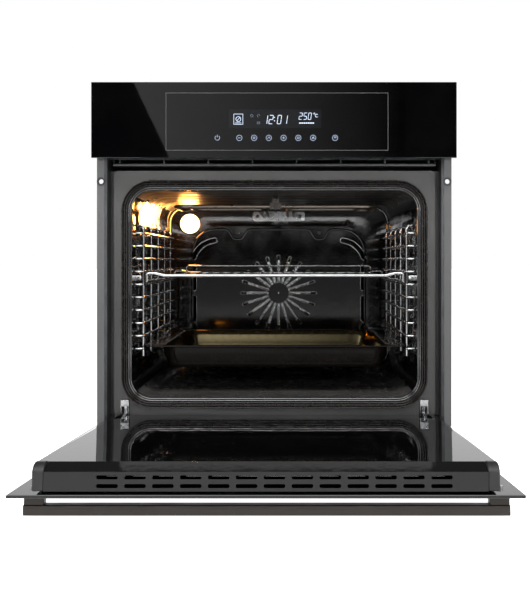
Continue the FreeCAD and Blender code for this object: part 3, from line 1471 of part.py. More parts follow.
def build():
    """Make every node and write its file."""
    os.makedirs("parts", exist_ok=True)
    still = {
        "base_plate": base_plate(),
        "rear_panel": rear_panel(),
        "top_panel": top_panel(),
        "front_frame": front_frame(),
        "door_gasket": door_gasket(),
        "cavity_shell": cavity_shell(),
        "cavity_back_wall": cavity_back_wall(),
        "insulation_blanket": insulation_blanket(),
        "control_panel_glass": control_panel_glass(),
        "control_panel_carrier": control_panel_carrier(),
        "display_board": display_board(),
        "component_deck": component_deck(),
        "air_outlet_duct": air_outlet_duct(),
        "blower_housing": blower_housing(),
        "blower_wheel": blower_wheel(),
        "blower_motor": blower_motor(),
        "power_board": power_board(),
        "terminal_block": terminal_block(),
        "terminal_cover": terminal_cover(),
        "rack_nuts": rack_nuts(),
        "wire_shelf": wire_shelf(),
        "baking_tray": baking_tray(),
        "grill_element": grill_element(),
        "element_clip": element_clip(),
        "element_flange": element_flange(),
        "bottom_element": bottom_element(),
        "ring_element": ring_element(),
        "fan_cover": fan_cover(),
        "fan_cover_screws": fan_cover_screws(),
        "convection_fan": convection_fan(),
        "fan_motor": fan_motor(),
        "lamp_lens": lamp_lens(),
        "lamp_bulb": lamp_bulb(),
        "lamp_socket": lamp_socket(),
        "temperature_probe": temperature_probe(),
        "hinge_pins": hinge_pins(),
        "hinge_receivers": Part.makeCompound([hinge_receiver(side) for _, side in SIDES]),
        "mount_bushings": mount_bushings(),
        "chassis_screws": chassis_screws(),
    }
    for name, side in SIDES:
        still["side_panel_" + name] = side_panel(side)
        still["rack_" + name] = side_rack(side)
        still["hinge_arm_" + name] = hinge_arm(side)
        still["hinge_lock_" + name] = hinge_lock(side)
    door = {
        "door_outer_glass": door_outer_glass(),
        "door_middle_glass": door_middle_glass(),
        "door_inner_glass": door_inner_glass(),
        "door_top_trim": door_top_trim(),
        "door_end_caps": door_end_caps(),
        "door_bottom_trim": door_bottom_trim(),
        "handle_bar": handle_bar(),
        "handle_posts": handle_posts(),
        "handle_screws": handle_screws(),
        "hinge_channels": Part.makeCompound([hinge_channel(side) for _, side in SIDES]),
        "hinge_springs": hinge_springs(),
    }
    for name, side in SIDES:
        door["door_side_profile_" + name] = door_side_profile(side)
    for name, shape in still.items():
        save(name, shape)
    for name, shape in door.items():
        save(name, opened(shape))


build()
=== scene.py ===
import sys
import logging
import math
from dataclasses import dataclass, field
from enum import Enum

import bmesh
import bpy
import numpy as np
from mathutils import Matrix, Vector


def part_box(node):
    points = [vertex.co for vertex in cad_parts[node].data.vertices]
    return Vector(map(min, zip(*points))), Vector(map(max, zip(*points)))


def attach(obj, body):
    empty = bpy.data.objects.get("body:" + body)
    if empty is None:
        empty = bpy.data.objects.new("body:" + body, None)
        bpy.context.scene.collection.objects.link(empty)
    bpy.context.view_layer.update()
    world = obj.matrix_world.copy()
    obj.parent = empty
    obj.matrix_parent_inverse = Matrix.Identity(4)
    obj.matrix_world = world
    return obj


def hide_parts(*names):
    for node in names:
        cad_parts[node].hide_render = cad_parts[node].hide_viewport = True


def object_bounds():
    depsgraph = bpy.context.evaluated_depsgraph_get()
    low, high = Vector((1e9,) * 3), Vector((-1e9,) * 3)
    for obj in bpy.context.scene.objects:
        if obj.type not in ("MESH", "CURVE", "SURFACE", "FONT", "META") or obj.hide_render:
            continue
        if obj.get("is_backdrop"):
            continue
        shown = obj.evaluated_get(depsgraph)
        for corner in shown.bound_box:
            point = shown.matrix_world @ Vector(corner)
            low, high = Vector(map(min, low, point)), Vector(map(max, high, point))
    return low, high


# Looks of a built-in wall oven with its door open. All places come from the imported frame, in metres.
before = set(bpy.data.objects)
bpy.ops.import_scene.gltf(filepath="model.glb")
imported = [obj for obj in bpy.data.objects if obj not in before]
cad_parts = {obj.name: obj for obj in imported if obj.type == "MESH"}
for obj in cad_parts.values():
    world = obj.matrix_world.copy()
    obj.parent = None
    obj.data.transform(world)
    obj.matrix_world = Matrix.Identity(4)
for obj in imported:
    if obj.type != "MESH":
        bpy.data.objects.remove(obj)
CAD_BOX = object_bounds()

MM = 0.001
ROOT = "oven_body"
WELD = 2e-6
FLAT_DEG = 0.6
EDGE_DEG = 30.0
UP = Vector((0.0, 0.0, 1.0))
ACROSS = Vector((1.0, 0.0, 0.0))
Array = np.ndarray
Pair = tuple[float, float]
Triple = tuple[float, float, float]
Quad = tuple[float, float, float, float]
Thing = bpy.types.Object
Tree = bpy.types.NodeTree
LOG = logging.getLogger("oven")


# ---- places
@dataclass(frozen=True)
class Span:
    """The box of one CAD node, in metres."""

    x0: float
    y0: float
    z0: float
    x1: float
    y1: float
    z1: float

    @classmethod
    def of(cls, node: str) -> "Span":
        """Read a node's box from the frame."""
        low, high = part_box(node)
        return cls(low.x, low.y, low.z, high.x, high.y, high.z)

    @property
    def x_mid(self) -> float:
        """Middle across."""
        return (self.x0 + self.x1) / 2

    @property
    def y_mid(self) -> float:
        """Middle front to back."""
        return (self.y0 + self.y1) / 2

    @property
    def z_mid(self) -> float:
        """Middle height."""
        return (self.z0 + self.z1) / 2

    @property
    def half_x(self) -> float:
        """Half the width."""
        return (self.x1 - self.x0) / 2

    @property
    def half_z(self) -> float:
        """Half the height."""
        return (self.z1 - self.z0) / 2


def linear(code: str) -> Quad:
    """Turn an sRGB hex code into linear RGBA.

    Args:
        code: six hex digits.

    Returns:
        The linear colour with alpha 1.
    """
    parts = [int(code[i:i + 2], 16) / 255 for i in (0, 2, 4)]
    out = [p / 12.92 if p <= 0.04045 else ((p + 0.055) / 1.055) ** 2.4 for p in parts]
    return (out[0], out[1], out[2], 1.0)


def span(node: str) -> Span:
    """A dataclass field that holds a node's box."""
    return field(default_factory=lambda: Span.of(node))


# ---- finishes
class Pattern(Enum):
    """How a surface was made: the x, y and z stretch of its grain (last digits keep members apart)."""

    PEEL = (1.0, 1.0, 1.0)
    BRUSHED_ACROSS = (0.02, 1.0, 1.0)
    DRAWN_DEEP = (1.0, 0.03, 1.0)
    ROLLED = (0.25, 1.0, 0.25)
    SPARK = (1.0, 1.0, 1.001)
    FIBRE = (0.2, 1.0, 0.35)
    TRACES = (1.0, 1.0, 1.002)


def add(tree: Tree, kind: str, settings: dict | None = None, links: dict | None = None) -> bpy.types.Node:
    """Add one shader node.

    Args:
        tree: the material's tree.
        kind: the node's type name without its prefix.
        settings: attribute names or input sockets with their values.
        links: input sockets with the nodes or output sockets that feed them.

    Returns:
        The new node.
    """
    node = tree.nodes.new("ShaderNode" + kind)
    for key, value in (settings or {}).items():
        if isinstance(key, str) and hasattr(node, key):
            setattr(node, key, value)
        else:
            node.inputs[key].default_value = value
    for key, source in (links or {}).items():
        socket = source.outputs[0] if isinstance(source, bpy.types.Node) else source
        tree.links.new(socket, node.inputs[key])
    return node


def ramp(tree: Tree, source: object, low: float, high: float, start: float = 0.0,
        end: float = 1.0) -> bpy.types.Node:
    """Add a straight ramp.

    Args:
        tree: the material's tree.
        source: what is ramped.
        low: the value that gives start.
        high: the value that gives end.
        start: what low becomes.
        end: what high becomes.

    Returns:
        The new node.
    """
    return add(tree, "MapRange", {"From Min": low, "From Max": high, "To Min": start, "To Max": end},
        {"Value": source})


def blank(name: str) -> bpy.types.Material:
    """Start a material with an empty tree."""
    mat = bpy.data.materials.new(name)
    mat.use_nodes = True
    mat.node_tree.nodes.clear()
    return mat


@dataclass(frozen=True)
class Finish:
    """One real finish: its two tones, gloss range, grain and relief."""

    name: str
    base: str
    tone: str
    rough: Pair
    grain_mm: float
    relief: float
    patch_mm: float = 60.0
    pattern: Pattern = Pattern.PEEL
    metallic: float = 0.0
    ior: float = 1.5
    coat: float = 0.0
    tint: str = "FFFFFF"
    through: float = 0.0
    glow: str = ""
    glow_rim: str = ""
    glow_power: float = 0.0

    def material(self) -> bpy.types.Material:
        """Build it once: a broad patch noise shifts tone and gloss, a fine one makes the relief."""
        found = bpy.data.materials.get(self.name)
        if found:
            return found
        mat = blank(self.name)
        tree = mat.node_tree
        place = add(tree, "TexCoord")
        grain = tuple(s / (self.grain_mm * MM) for s in self.pattern.value)
        fine_at = add(tree, "Mapping", {"Scale": grain}, {"Vector": place.outputs["Object"]})
        fine = add(tree, "TexNoise", {"Scale": 1.0, "Detail": 3.0, "Roughness": 0.6}, {"Vector": fine_at})
        patch = 1.0 / (self.patch_mm * MM)
        broad = add(tree, "TexNoise", {"Scale": patch, "Detail": 5.0, "Roughness": 0.62},
            {"Vector": place.outputs["Object"]})
        both = add(tree, "Math", {"operation": "MULTIPLY"}, {0: broad, 1: fine})
        spread = ramp(tree, both, 0.12, 0.42)
        first, second = linear(self.base), linear(self.tone)
        tint = add(tree, "Mix", {"data_type": "RGBA", 6: first, 7: second}, {0: spread})
        gloss = ramp(tree, broad, 0.3, 0.7, *self.rough)
        height = fine
        if self.pattern is Pattern.SPARK:
            cells = add(tree, "TexVoronoi", {"Scale": 1.0}, {"Vector": fine_at})
            height = cells.outputs["Distance"]
        if self.pattern is Pattern.TRACES:
            copper = {"Mortar": linear("9C8A4A"), "Mortar Size": 0.06}
            bricks = add(tree, "TexBrick", {"Scale": 1.0, "Color1": first, "Color2": second, **copper},
                {"Vector": fine_at})
            tint = add(tree, "Mix", {"data_type": "RGBA", 0: 0.75}, {6: tint.outputs[2], 7: bricks})
            height = bricks.outputs["Fac"]
        relief = add(tree, "Bump", {"Strength": self.relief, "Distance": 0.3 * self.grain_mm * MM},
            {"Height": height})
        even = {"Metallic": self.metallic, "IOR": self.ior, "Coat Weight": self.coat}
        even |= {"Coat Roughness": 0.04, "Transmission Weight": self.through}
        even["Specular Tint"] = linear(self.tint)
        varied = {"Base Color": tint.outputs[2], "Roughness": gloss, "Normal": relief}
        skin = add(tree, "BsdfPrincipled", even, varied)
        if self.glow:
            skin.inputs["Emission Color"].default_value = linear(self.glow)
            skin.inputs["Emission Strength"].default_value = self.glow_power
        if self.glow_rim:
            turn = add(tree, "LayerWeight", {"Blend": 0.5})
            rim = ramp(tree, turn.outputs["Facing"], 0.25, 0.5)
            fade = add(tree, "Mix", {"data_type": "RGBA", 6: linear(self.glow), 7: linear(self.glow_rim)},
                {0: rim})
            tree.links.new(fade.outputs[2], skin.inputs["Emission Color"])
        out = add(tree, "OutputMaterial", None, {"Surface": skin})
        out.is_active_output = True
        return mat


# Each: name, base tone, second tone, gloss range, grain in mm, relief, patch size in mm.
# Back-printed toughened glass: near-black, a flawless polish with faint wipe marks in its gloss.
BLACK_GLASS = Finish("black_printed_glass", "020203", "050505", (0.01, 0.04), 60.0, 0.001, 120.0)
# Inner door pane, dark heat-reflecting glass: mirrors the oven front at a low angle.
MIRROR_GLASS = Finish("heat_reflecting_dark_glass", "060607", "090909", (0.01, 0.03), 50.0, 0.006, 150.0,
    ior=2.3)
# Clear float glass with a faint green body.
CLEAR_GLASS = Finish("clear_float_glass", "5B6864", "667470", (0.01, 0.03), 30.0, 0.01, through=0.95)
# Lit borosilicate lens: glows white-hot with a warm rim.
LIT_LENS = Finish("lit_borosilicate_lens", "3A2A18", "46331C", (0.1, 0.2), 6.0, 0.05, glow="FFD596",
    glow_rim="662604", glow_power=7.0)
LIT_BULB = Finish("lit_lamp_capsule", "FFF1D8", "FFE7BE", (0.1, 0.2), 4.0, 0.05, glow="FFD08A",
    glow_power=8.0)
# Vitreous enamel fired on steel: wet black gloss over a soft orange peel with pale specks.
BLACK_ENAMEL = Finish("fired_black_enamel", "070707", "0C0B0B", (0.05, 0.12), 9.0, 0.02, 35.0, coat=0.1)
# Ground-coat enamel of the roof and floor: the same black, dulled by baking.
DULL_ENAMEL = Finish("dulled_black_enamel", "1F1E1E", "292727", (0.26, 0.42), 5.0, 0.06, 45.0, coat=0.1)
# Floor of the cavity: the black enamel painted grey as painted light, where the floor shows lit through the
# mouth.
FLOOR_PAINTED_LIGHT = Finish("floor_enamel_painted_light", "3A3938", "474543", (0.18, 0.34), 6.0, 0.05, 55.0)
# Black enamel on rolled edges, given a higher IOR and coat than the enamel elsewhere: painted highlight
# that draws the bright lines.
EDGE_ENAMEL_HIGHLIGHT = Finish("edge_enamel_painted_highlight", "0B0B0B", "111010", (0.05, 0.1), 9.0, 0.02, 35.0, ior=2.2,
    coat=0.5)
# Same enamel on the tray, a touch browner from baking; its reflection is weakened with a low IOR, painted
# shade on the tray's outer walls.
TRAY_ENAMEL = Finish("fired_brown_black_enamel", "0C0907", "15100C", (0.16, 0.28), 8.0, 0.02, 40.0,
    ior=1.25)
# Inside of the tray: the same enamel with a stronger, gold-tinted reflection, a painted golden reflection.
TRAY_GOLD_REFLECTION = Finish("enamel_painted_gold_reflection", "0D0A06", "17110A", (0.05, 0.12), 8.0, 0.02, 40.0, ior=2.2,
    tint="EFDCA6")
# Satin enamel of the front frame: flat dark grey with a soft sheen.
FRAME_ENAMEL = Finish("satin_grey_enamel", "3E3D3D", "464544", (0.3, 0.42), 1.6, 0.08, 90.0)
# Galvanised sheet, darker than the plain sheet: rolled grain and cloudy spangle. On the sides of the side
# panels it is painted shade for the shaded recess beside the door.
DARK_SHEET_AND_SHADE = Finish("dark_galvanised_sheet_and_shade", "4C4D4F", "606163", (0.3, 0.48), 2.5, 0.1, 25.0,
    pattern=Pattern.ROLLED, metallic=0.85)
# Plain galvanised sheet of the hidden panels: brighter spangle.
ZINC_SHEET = Finish("galvanised_sheet", "8A8C8E", "A3A5A7", (0.28, 0.5), 3.0, 0.12, 18.0,
    pattern=Pattern.ROLLED, metallic=0.9)
# Grey side flanges, powder-coated: fine matt texture.
FLANGE_COAT = Finish("grey_powder_coat", "525253", "5A5A5B", (0.36, 0.5), 0.9, 0.1, 80.0,
    pattern=Pattern.SPARK, metallic=0.3)
# Silicone rubber: soft black, dusty on the ridges.
RUBBER = Finish("silicone_rubber", "141110", "211C19", (0.2, 0.34), 1.2, 0.12, 20.0)
# Mineral wool: straw-coloured tangled fibre.
WOOL = Finish("mineral_wool", "A8946A", "CDBB90", (0.9, 1.0), 2.2, 0.9, 12.0, pattern=Pattern.FIBRE)
# Lacquered circuit board with copper traces under green.
BOARD = Finish("lacquered_circuit_board", "0B4A22", "116332", (0.25, 0.4), 4.0, 0.15, 15.0,
    pattern=Pattern.TRACES)
# Pressed aluminium of the wheels: bright, faint turning marks.
ALUMINIUM = Finish("pressed_aluminium", "B9BABC", "D5D6D7", (0.18, 0.32), 0.8, 0.1, 20.0,
    pattern=Pattern.BRUSHED_ACROSS, metallic=1.0)
# Motor laminations and cans: zinc grey.
MOTOR = Finish("zinc_plated_laminations", "6F7073", "8B8C8E", (0.32, 0.48), 1.0, 0.15, 20.0,
    pattern=Pattern.DRAWN_DEEP, metallic=0.9)
# Moulded black plastic with spark-eroded texture.
PLASTIC = Finish("spark_textured_plastic", "18181A", "202022", (0.42, 0.58), 0.7, 0.2, 30.0,
    pattern=Pattern.SPARK)
# Chrome plate on drawn wire: mirror-bright with faint draw lines.
CHROME = Finish("chrome_plated_wire", "ABACAE", "BFC0C1", (0.06, 0.16), 0.6, 0.05, 25.0,
    pattern=Pattern.DRAWN_DEEP, metallic=1.0)
# Heater sheath, oxidised nickel alloy: brown-grey bloom.
HEATER = Finish("oxidised_heater_sheath", "6A635C", "8C8378", (0.24, 0.42), 0.8, 0.12, 22.0,
    pattern=Pattern.DRAWN_DEEP, metallic=0.95)
# Bright zinc plate on pressed steel: slightly cool, fine scratches.
ZINC = Finish("bright_zinc_plate", "B4B6B8", "CDCECF", (0.2, 0.36), 0.8, 0.12, 12.0, pattern=Pattern.ROLLED,
    metallic=1.0)
# Blackened steel of screws and the clip inside the cavity.
BLACKENED = Finish("blackened_steel", "2A2826", "3B3734", (0.22, 0.4), 1.0, 0.12, 10.0, metallic=0.95)
# Bright metal on the turned slot edges: painted highlight that draws the glints round the slots.
SLOT_LIP_GLINT = Finish("slot_lip_painted_glint", "8E9092", "A6A8AA", (0.14, 0.28), 1.5, 0.08, 12.0, metallic=1.0)
# Oiled spring wire.
SPRING = Finish("oiled_spring_wire", "3C3B3A", "55534F", (0.25, 0.4), 1.0, 0.1, 10.0, metallic=1.0)
# Unglazed steatite of the lamp holder.
STEATITE = Finish("unglazed_steatite", "D6D0C2", "E2DDD1", (0.55, 0.7), 1.0, 0.15, 12.0)
# Satin dark paint on the door's metal strips.
DOOR_PAINT = Finish("satin_charcoal_paint", "0E0E0E", "141414", (0.32, 0.44), 0.8, 0.08, 70.0)
# Wet-look lacquer on the strip's sloping top.
TRIM_LACQUER = Finish("gloss_black_lacquer", "050505", "080808", (0.03, 0.07), 12.0, 0.03, 60.0, coat=0.4)
# Moulded end caps, a little blacker than the strip.
CAP_PLASTIC = Finish("satin_moulded_cap", "1B1B1C", "242425", (0.34, 0.48), 0.6, 0.12, 30.0,
    pattern=Pattern.SPARK)
# Dark anodised aluminium of the handle, brushed along its length.
ANODISED = Finish("brushed_dark_anodising", "322F2D", "403C39", (0.26, 0.4), 0.7, 0.1, 45.0,
    pattern=Pattern.BRUSHED_ACROSS, metallic=0.75)
# Ceramic print on the panel glass.
PRINT = Finish("grey_ceramic_print", "4A4A4C", "555557", (0.4, 0.5), 1.0, 0.05)
WINDOW = Finish("smoked_display_window", "0D0E10", "121316", (0.05, 0.09), 8.0, 0.02)
DIGITS = Finish("lit_white_segments", "8C98A8", "7C8898", (0.3, 0.4), 1.0, 0.02, glow="DCE8FF",
    glow_power=0.9)
SYMBOLS = Finish("lit_blue_white_symbols", "6C7888", "5C6878", (0.3, 0.4), 1.0, 0.02, glow="BFD0EC",
    glow_power=0.6)


# ---- mesh work
def grid_faces(rows: int, cols: int, wrap_rows: bool, wrap_cols: bool) -> Array:
    """Quads of a rows by cols grid, optionally joined end to end each way.

    Args:
        rows: number of rows of points.
        cols: number of points in a row.
        wrap_rows: join the last row to the first.
        wrap_cols: join each row's last point to its first.

    Returns:
        An array of quads of point numbers.
    """
    i = np.arange(rows if wrap_rows else rows - 1)[:, None]
    j = np.arange(cols if wrap_cols else cols - 1)[None, :]
    i2 = (i + 1) % rows
    j2 = (j + 1) % cols
    quads = np.stack([i * cols + j, i * cols + j2, i2 * cols + j2, i2 * cols + j], axis=-1)
    return quads.reshape(-1, 4)


def piece(name: str, points: Array, faces: Array, finish: Finish, sharp_deg: float = 32.0,
        body: str = ROOT) -> Thing:
    """Make one finished piece from arrays, welded, with its faces turned outwards.

    Args:
        name: the piece's name.
        points: an array of positions in metres.
        faces: an array of quads or triangles.
        finish: its finish.
        sharp_deg: edges turned by more than this stay crisp.
        body: the body it rides on.

    Returns:
        The new object, riding on its body.
    """
    mesh = bpy.data.meshes.new(name)
    mesh.from_pydata(points.reshape(-1, 3).tolist(), [], faces.tolist())
    form = bmesh.new()
    form.from_mesh(mesh)
    bmesh.ops.remove_doubles(form, verts=form.verts, dist=WELD)
    bmesh.ops.recalc_face_normals(form, faces=form.faces)
    form.to_mesh(mesh)
    form.free()
    return hung(name, mesh, finish, body, sharp_deg)


def placed(name: str, data: bpy.types.ID) -> Thing:
    """Put a new object with this data in the scene."""
    thing = bpy.data.objects.new(name, data)
    bpy.context.scene.collection.objects.link(thing)
    return thing


def stood(section: Array, depth: Array | float, rise: float = 0.0) -> Array:
    """Turn (x, height) points into (x, y, z) ones at a depth along Y, raised by some height."""
    x = section[..., 0]
    return np.stack([x, np.broadcast_to(depth, x.shape), section[..., 1] + rise], -1)


def compass(angle: Array | float) -> Array:
    """Unit vectors at angles in radians."""
    return np.stack([np.cos(angle), np.sin(angle)], -1)


def per_face(mesh: bpy.types.Mesh, key: str) -> Array:
    """Read a vector property of every face, as rows of three."""
    flat = np.empty(len(mesh.polygons) * 3)
    mesh.polygons.foreach_get(key, flat)
    return flat.reshape(-1, 3)


def hung(name: str, mesh: bpy.types.Mesh, finish: Finish, body: str, sharp_deg: float) -> Thing:
    """Give a mesh its object, shading, finish and body.

    Args:
        name: the object's name.
        mesh: its mesh.
        finish: its finish.
        body: the body it rides on.
        sharp_deg: edges turned by more than this stay crisp.

    Returns:
        The object.
    """
    mesh.polygons.foreach_set("use_smooth", np.ones(len(mesh.polygons), bool))
    mesh.set_sharp_from_angle(angle=math.radians(sharp_deg))
    thing = placed(name, mesh)
    mesh.materials.clear()
    mesh.materials.append(finish.material())
    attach(thing, body)
    LOG.info("made %s in %s", name, finish.name)
    return thing


def dress(finish: Finish, *nodes: str) -> None:
    """Give CAD nodes a finish."""
    for node in nodes:
        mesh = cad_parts[node].data
        mesh.materials.clear()
        mesh.materials.append(finish.material())
        LOG.info("dressed %s in %s", node, finish.name)


def eased(node: str, finish: Finish, width_mm: float, body: str = ROOT, steps: int = 2) -> Thing:
    """Stand a welded copy with rolled edges in for a CAD node.

    Args:
        node: the CAD node.
        finish: its finish.
        width_mm: the width of the rolled edge.
        body: the body it rides on.
        steps: facets across the edge.

    Returns:
        The eased piece.
    """
    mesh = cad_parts[node].data.copy()
    form = bmesh.new()
    form.from_mesh(mesh)
    bmesh.ops.remove_doubles(form, verts=form.verts, dist=WELD)
    bmesh.ops.dissolve_limit(form, angle_limit=math.radians(FLAT_DEG), verts=form.verts, edges=form.edges)
    form.to_mesh(mesh)
    form.free()
    thing = hung(node + "_eased", mesh, finish, body, EDGE_DEG)
    edge = thing.modifiers.new("rolled_edge", "BEVEL")
    edge.width = width_mm * MM
    edge.segments = steps
    edge.limit_method = "ANGLE"
    edge.angle_limit = math.radians(EDGE_DEG)
    edge.use_clamp_overlap = True
    edge.harden_normals = True
    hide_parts(node)
    return thing


def second_finish(thing: Thing, finish: Finish, axis: Vector, least: float = 0.5,
        both: bool = False) -> None:
    """Give the faces that look along an axis a second finish.

    Args:
        thing: the piece.
        finish: the finish of those faces.
        axis: the direction they look.
        least: how closely a face's normal must follow it.
        both: also take the faces that look the other way.
    """
    mesh = thing.data
    along = per_face(mesh, "normal") @ np.array(axis)
    chosen = (np.abs(along) if both else along) > least
    slots = np.empty(len(mesh.polygons), np.int32)
    mesh.polygons.foreach_get("material_index", slots)
    slots[chosen] = len(mesh.materials)
    mesh.materials.append(finish.material())
    mesh.polygons.foreach_set("material_index", slots)


@dataclass(frozen=True)
class Loop:
    """A rounded rectangle as unit arrays: each point is sign x (half - radius) + outward x radius."""

    sign: Array
    outward: Array

    @classmethod
    def of(cls, corner: int, wide: int, tall: int) -> "Loop":
        """Lay out the points.

        Args:
            corner: points on each round corner.
            wide: points inside each top or bottom side.
            tall: points inside each upright side.

        Returns:
            The loop, anticlockwise from the right side's top.
        """
        signs = []
        outs = []
        marks = np.array([(1, 1), (-1, 1), (-1, -1), (1, -1)], float)
        for k in range(4):
            angle = np.linspace(0, np.pi / 2, corner) + k * np.pi / 2
            outs.append(compass(angle))
            signs.append(np.repeat(marks[k:k + 1], corner, 0))
            count = wide if k % 2 == 0 else tall
            share = (np.arange(1, count + 1) / (count + 1))[:, None]
            signs.append(marks[k] * (1 - share) + marks[(k + 1) % 4] * share)
            outs.append(compass(np.full(count, (k + 1) * np.pi / 2)))
        return cls(np.concatenate(signs), np.concatenate(outs))

    def rings(self, half_a: Array, half_b: Array, radius: Array) -> Array:
        """Rounded rectangles for arrays of half sizes and corner radii, as rings x points x 2."""
        half = np.stack([half_a, half_b], -1)[:, None, :]
        round_off = np.minimum(radius, np.minimum(half_a, half_b))[:, None, None]
        return self.sign[None] * (half - round_off) + self.outward[None] * round_off


def tube(path: Array, radius: float, sides: int = 10, closed: bool = False) -> tuple[Array, Array]:
    """Round bar along a path: a circle square to the path's direction at each point.

    Args:
        path: points x 3, in metres.
        radius: the bar's radius.
        sides: points round the bar.
        closed: whether the path returns to its start.

    Returns:
        The points and the quads.
    """
    ahead = np.roll(path, -1, 0) - np.roll(path, 1, 0)
    if not closed:
        ahead[0] = path[1] - path[0]
        ahead[-1] = path[-1] - path[-2]
    ahead /= np.linalg.norm(ahead, axis=1, keepdims=True)
    normal = np.eye(3)[int(np.argmin(np.ptp(path, axis=0)))]
    side = np.cross(ahead, normal)
    side /= np.linalg.norm(side, axis=1, keepdims=True)
    up = np.cross(side, ahead)
    turn = np.linspace(0, 2 * np.pi, sides, endpoint=False)
    ring = side[:, None] * np.cos(turn)[None, :, None] + up[:, None] * np.sin(turn)[None, :, None]
    points = path[:, None] + ring * radius
    faces = grid_faces(len(path), sides, closed, True)
    if closed:
        return points.reshape(-1, 3), faces
    flat = np.concatenate([points.reshape(-1, 3), path[[0, -1]]])
    first = len(path) * sides
    k = np.arange(sides)
    nose = np.stack([np.full(sides, first), k, (k + 1) % sides, (k + 1) % sides], 1)
    last = (len(path) - 1) * sides
    tail = np.stack([np.full(sides, first + 1), last + (k + 1) % sides, last + k, last + k], 1)
    caps = np.concatenate([nose, tail])[:, :3]
    return flat, np.concatenate([faces, np.concatenate([caps, caps[:, 2:3]], 1)])


class Plates:
    """Gathers thin flat prisms, such as printed marks, into one mesh facing the front.

    Shapes are given in millimetres: across from the middle and up from the base line.
    """

    def __init__(self, face_y: float, base_z: float, proud: float) -> None:
        """Start with the surface's depth, the base line's height and the marks' rise, in metres."""
        self.face_y = face_y
        self.base_z = base_z
        self.proud = proud
        self.points: list[Array] = []
        self.faces: list[list[int]] = []
        self.count = 0

    def outline(self, shape: Array) -> None:
        """Add a closed convex outline of (x, height) points."""
        n = len(shape)
        front = stood(shape * MM, self.face_y - self.proud, self.base_z)
        back = front + [0, self.proud * 0.98, 0]
        self.points.append(np.concatenate([front, back]))
        base = self.count
        self.faces.append([base + i for i in range(n)])
        self.faces.append([base + n + i for i in reversed(range(n))])
        for i in range(n):
            j = (i + 1) % n
            self.faces.append([base + i, base + n + i, base + n + j, base + j])
        self.count += 2 * n

    def bar(self, x0: float, x1: float, z0: float, z1: float) -> None:
        """Add an upright rectangle."""
        self.outline(np.array([(x0, z0), (x1, z0), (x1, z1), (x0, z1)]))

    def frame(self, x0: float, x1: float, z0: float, z1: float, line: float) -> None:
        """Add a rectangle drawn as four lines."""
        self.bar(x0, x1, z0, z0 + line)
        self.bar(x0, x1, z1 - line, z1)
        self.bar(x0, x0 + line, z0 + line, z1 - line)
        self.bar(x1 - line, x1, z0 + line, z1 - line)

    def stroke(self, a: Pair, b: Pair, line: float) -> None:
        """Add a straight stroke of that width between two points."""
        start = np.array(a)
        end = np.array(b)
        along = (end - start) / np.linalg.norm(end - start)
        side = np.array([-along[1], along[0]]) * line / 2
        self.outline(np.array([start - side, end - side, end + side, start + side]))

    def arc(self, x: float, z: float, radius: float, line: float, start: float = 0.0,
            end: float = 360.0) -> None:
        """Add a circular stroke as short pieces.

        Args:
            x: its centre across.
            z: its centre height.
            radius: the radius of its middle line.
            line: its width.
            start: first angle in degrees.
            end: last angle in degrees.
        """
        steps = max(4, int(abs(end - start) / 15))
        angle = np.radians(np.linspace(start, end, steps + 1))
        inner = (x, z) + (radius - line / 2) * compass(angle)
        outer = (x, z) + (radius + line / 2) * compass(angle)
        for i in range(steps):
            self.outline(np.array([inner[i], inner[i + 1], outer[i + 1], outer[i]]))

    def digit(self, mark: str, x: float, z: float, wide: float, tall: float, line: float) -> None:
        """Add a seven-segment digit that leans right.

        Args:
            mark: the digit.
            x: its lower left corner across.
            z: its lower left corner's height.
            wide: its width.
            tall: its height.
            line: the width of its strokes.
        """
        lit = {"0": "abcdef", "1": "bc", "2": "abged", "5": "afgcd"}[mark]
        lean = 0.14
        half = tall / 2
        spots = {"a": ((0, tall), (wide, tall)), "b": ((wide, half), (wide, tall)),
            "c": ((wide, 0), (wide, half)), "d": ((0, 0), (wide, 0)), "e": ((0, 0), (0, half)),
            "f": ((0, half), (0, tall)), "g": ((0, half), (wide, half))}
        gap = 0.35 * line
        for key in lit:
            (ax, az), (bx, bz) = spots[key]
            length = math.hypot(bx - ax, bz - az)
            ux, uz = (bx - ax) / length * gap, (bz - az) / length * gap
            a = (x + ax + ux + lean * (az + uz), z + az + uz)
            b = (x + bx - ux + lean * (bz - uz), z + bz - uz)
            self.stroke(a, b, line)

    def finish(self, name: str, look: Finish, body: str = ROOT) -> Thing:
        """Turn what was gathered into one piece."""
        mesh = bpy.data.meshes.new(name)
        mesh.from_pydata(np.concatenate(self.points).tolist(), [], self.faces)
        form = bmesh.new()
        form.from_mesh(mesh)
        bmesh.ops.recalc_face_normals(form, faces=form.faces)
        form.to_mesh(mesh)
        form.free()
        return hung(name, mesh, look, body, EDGE_DEG)


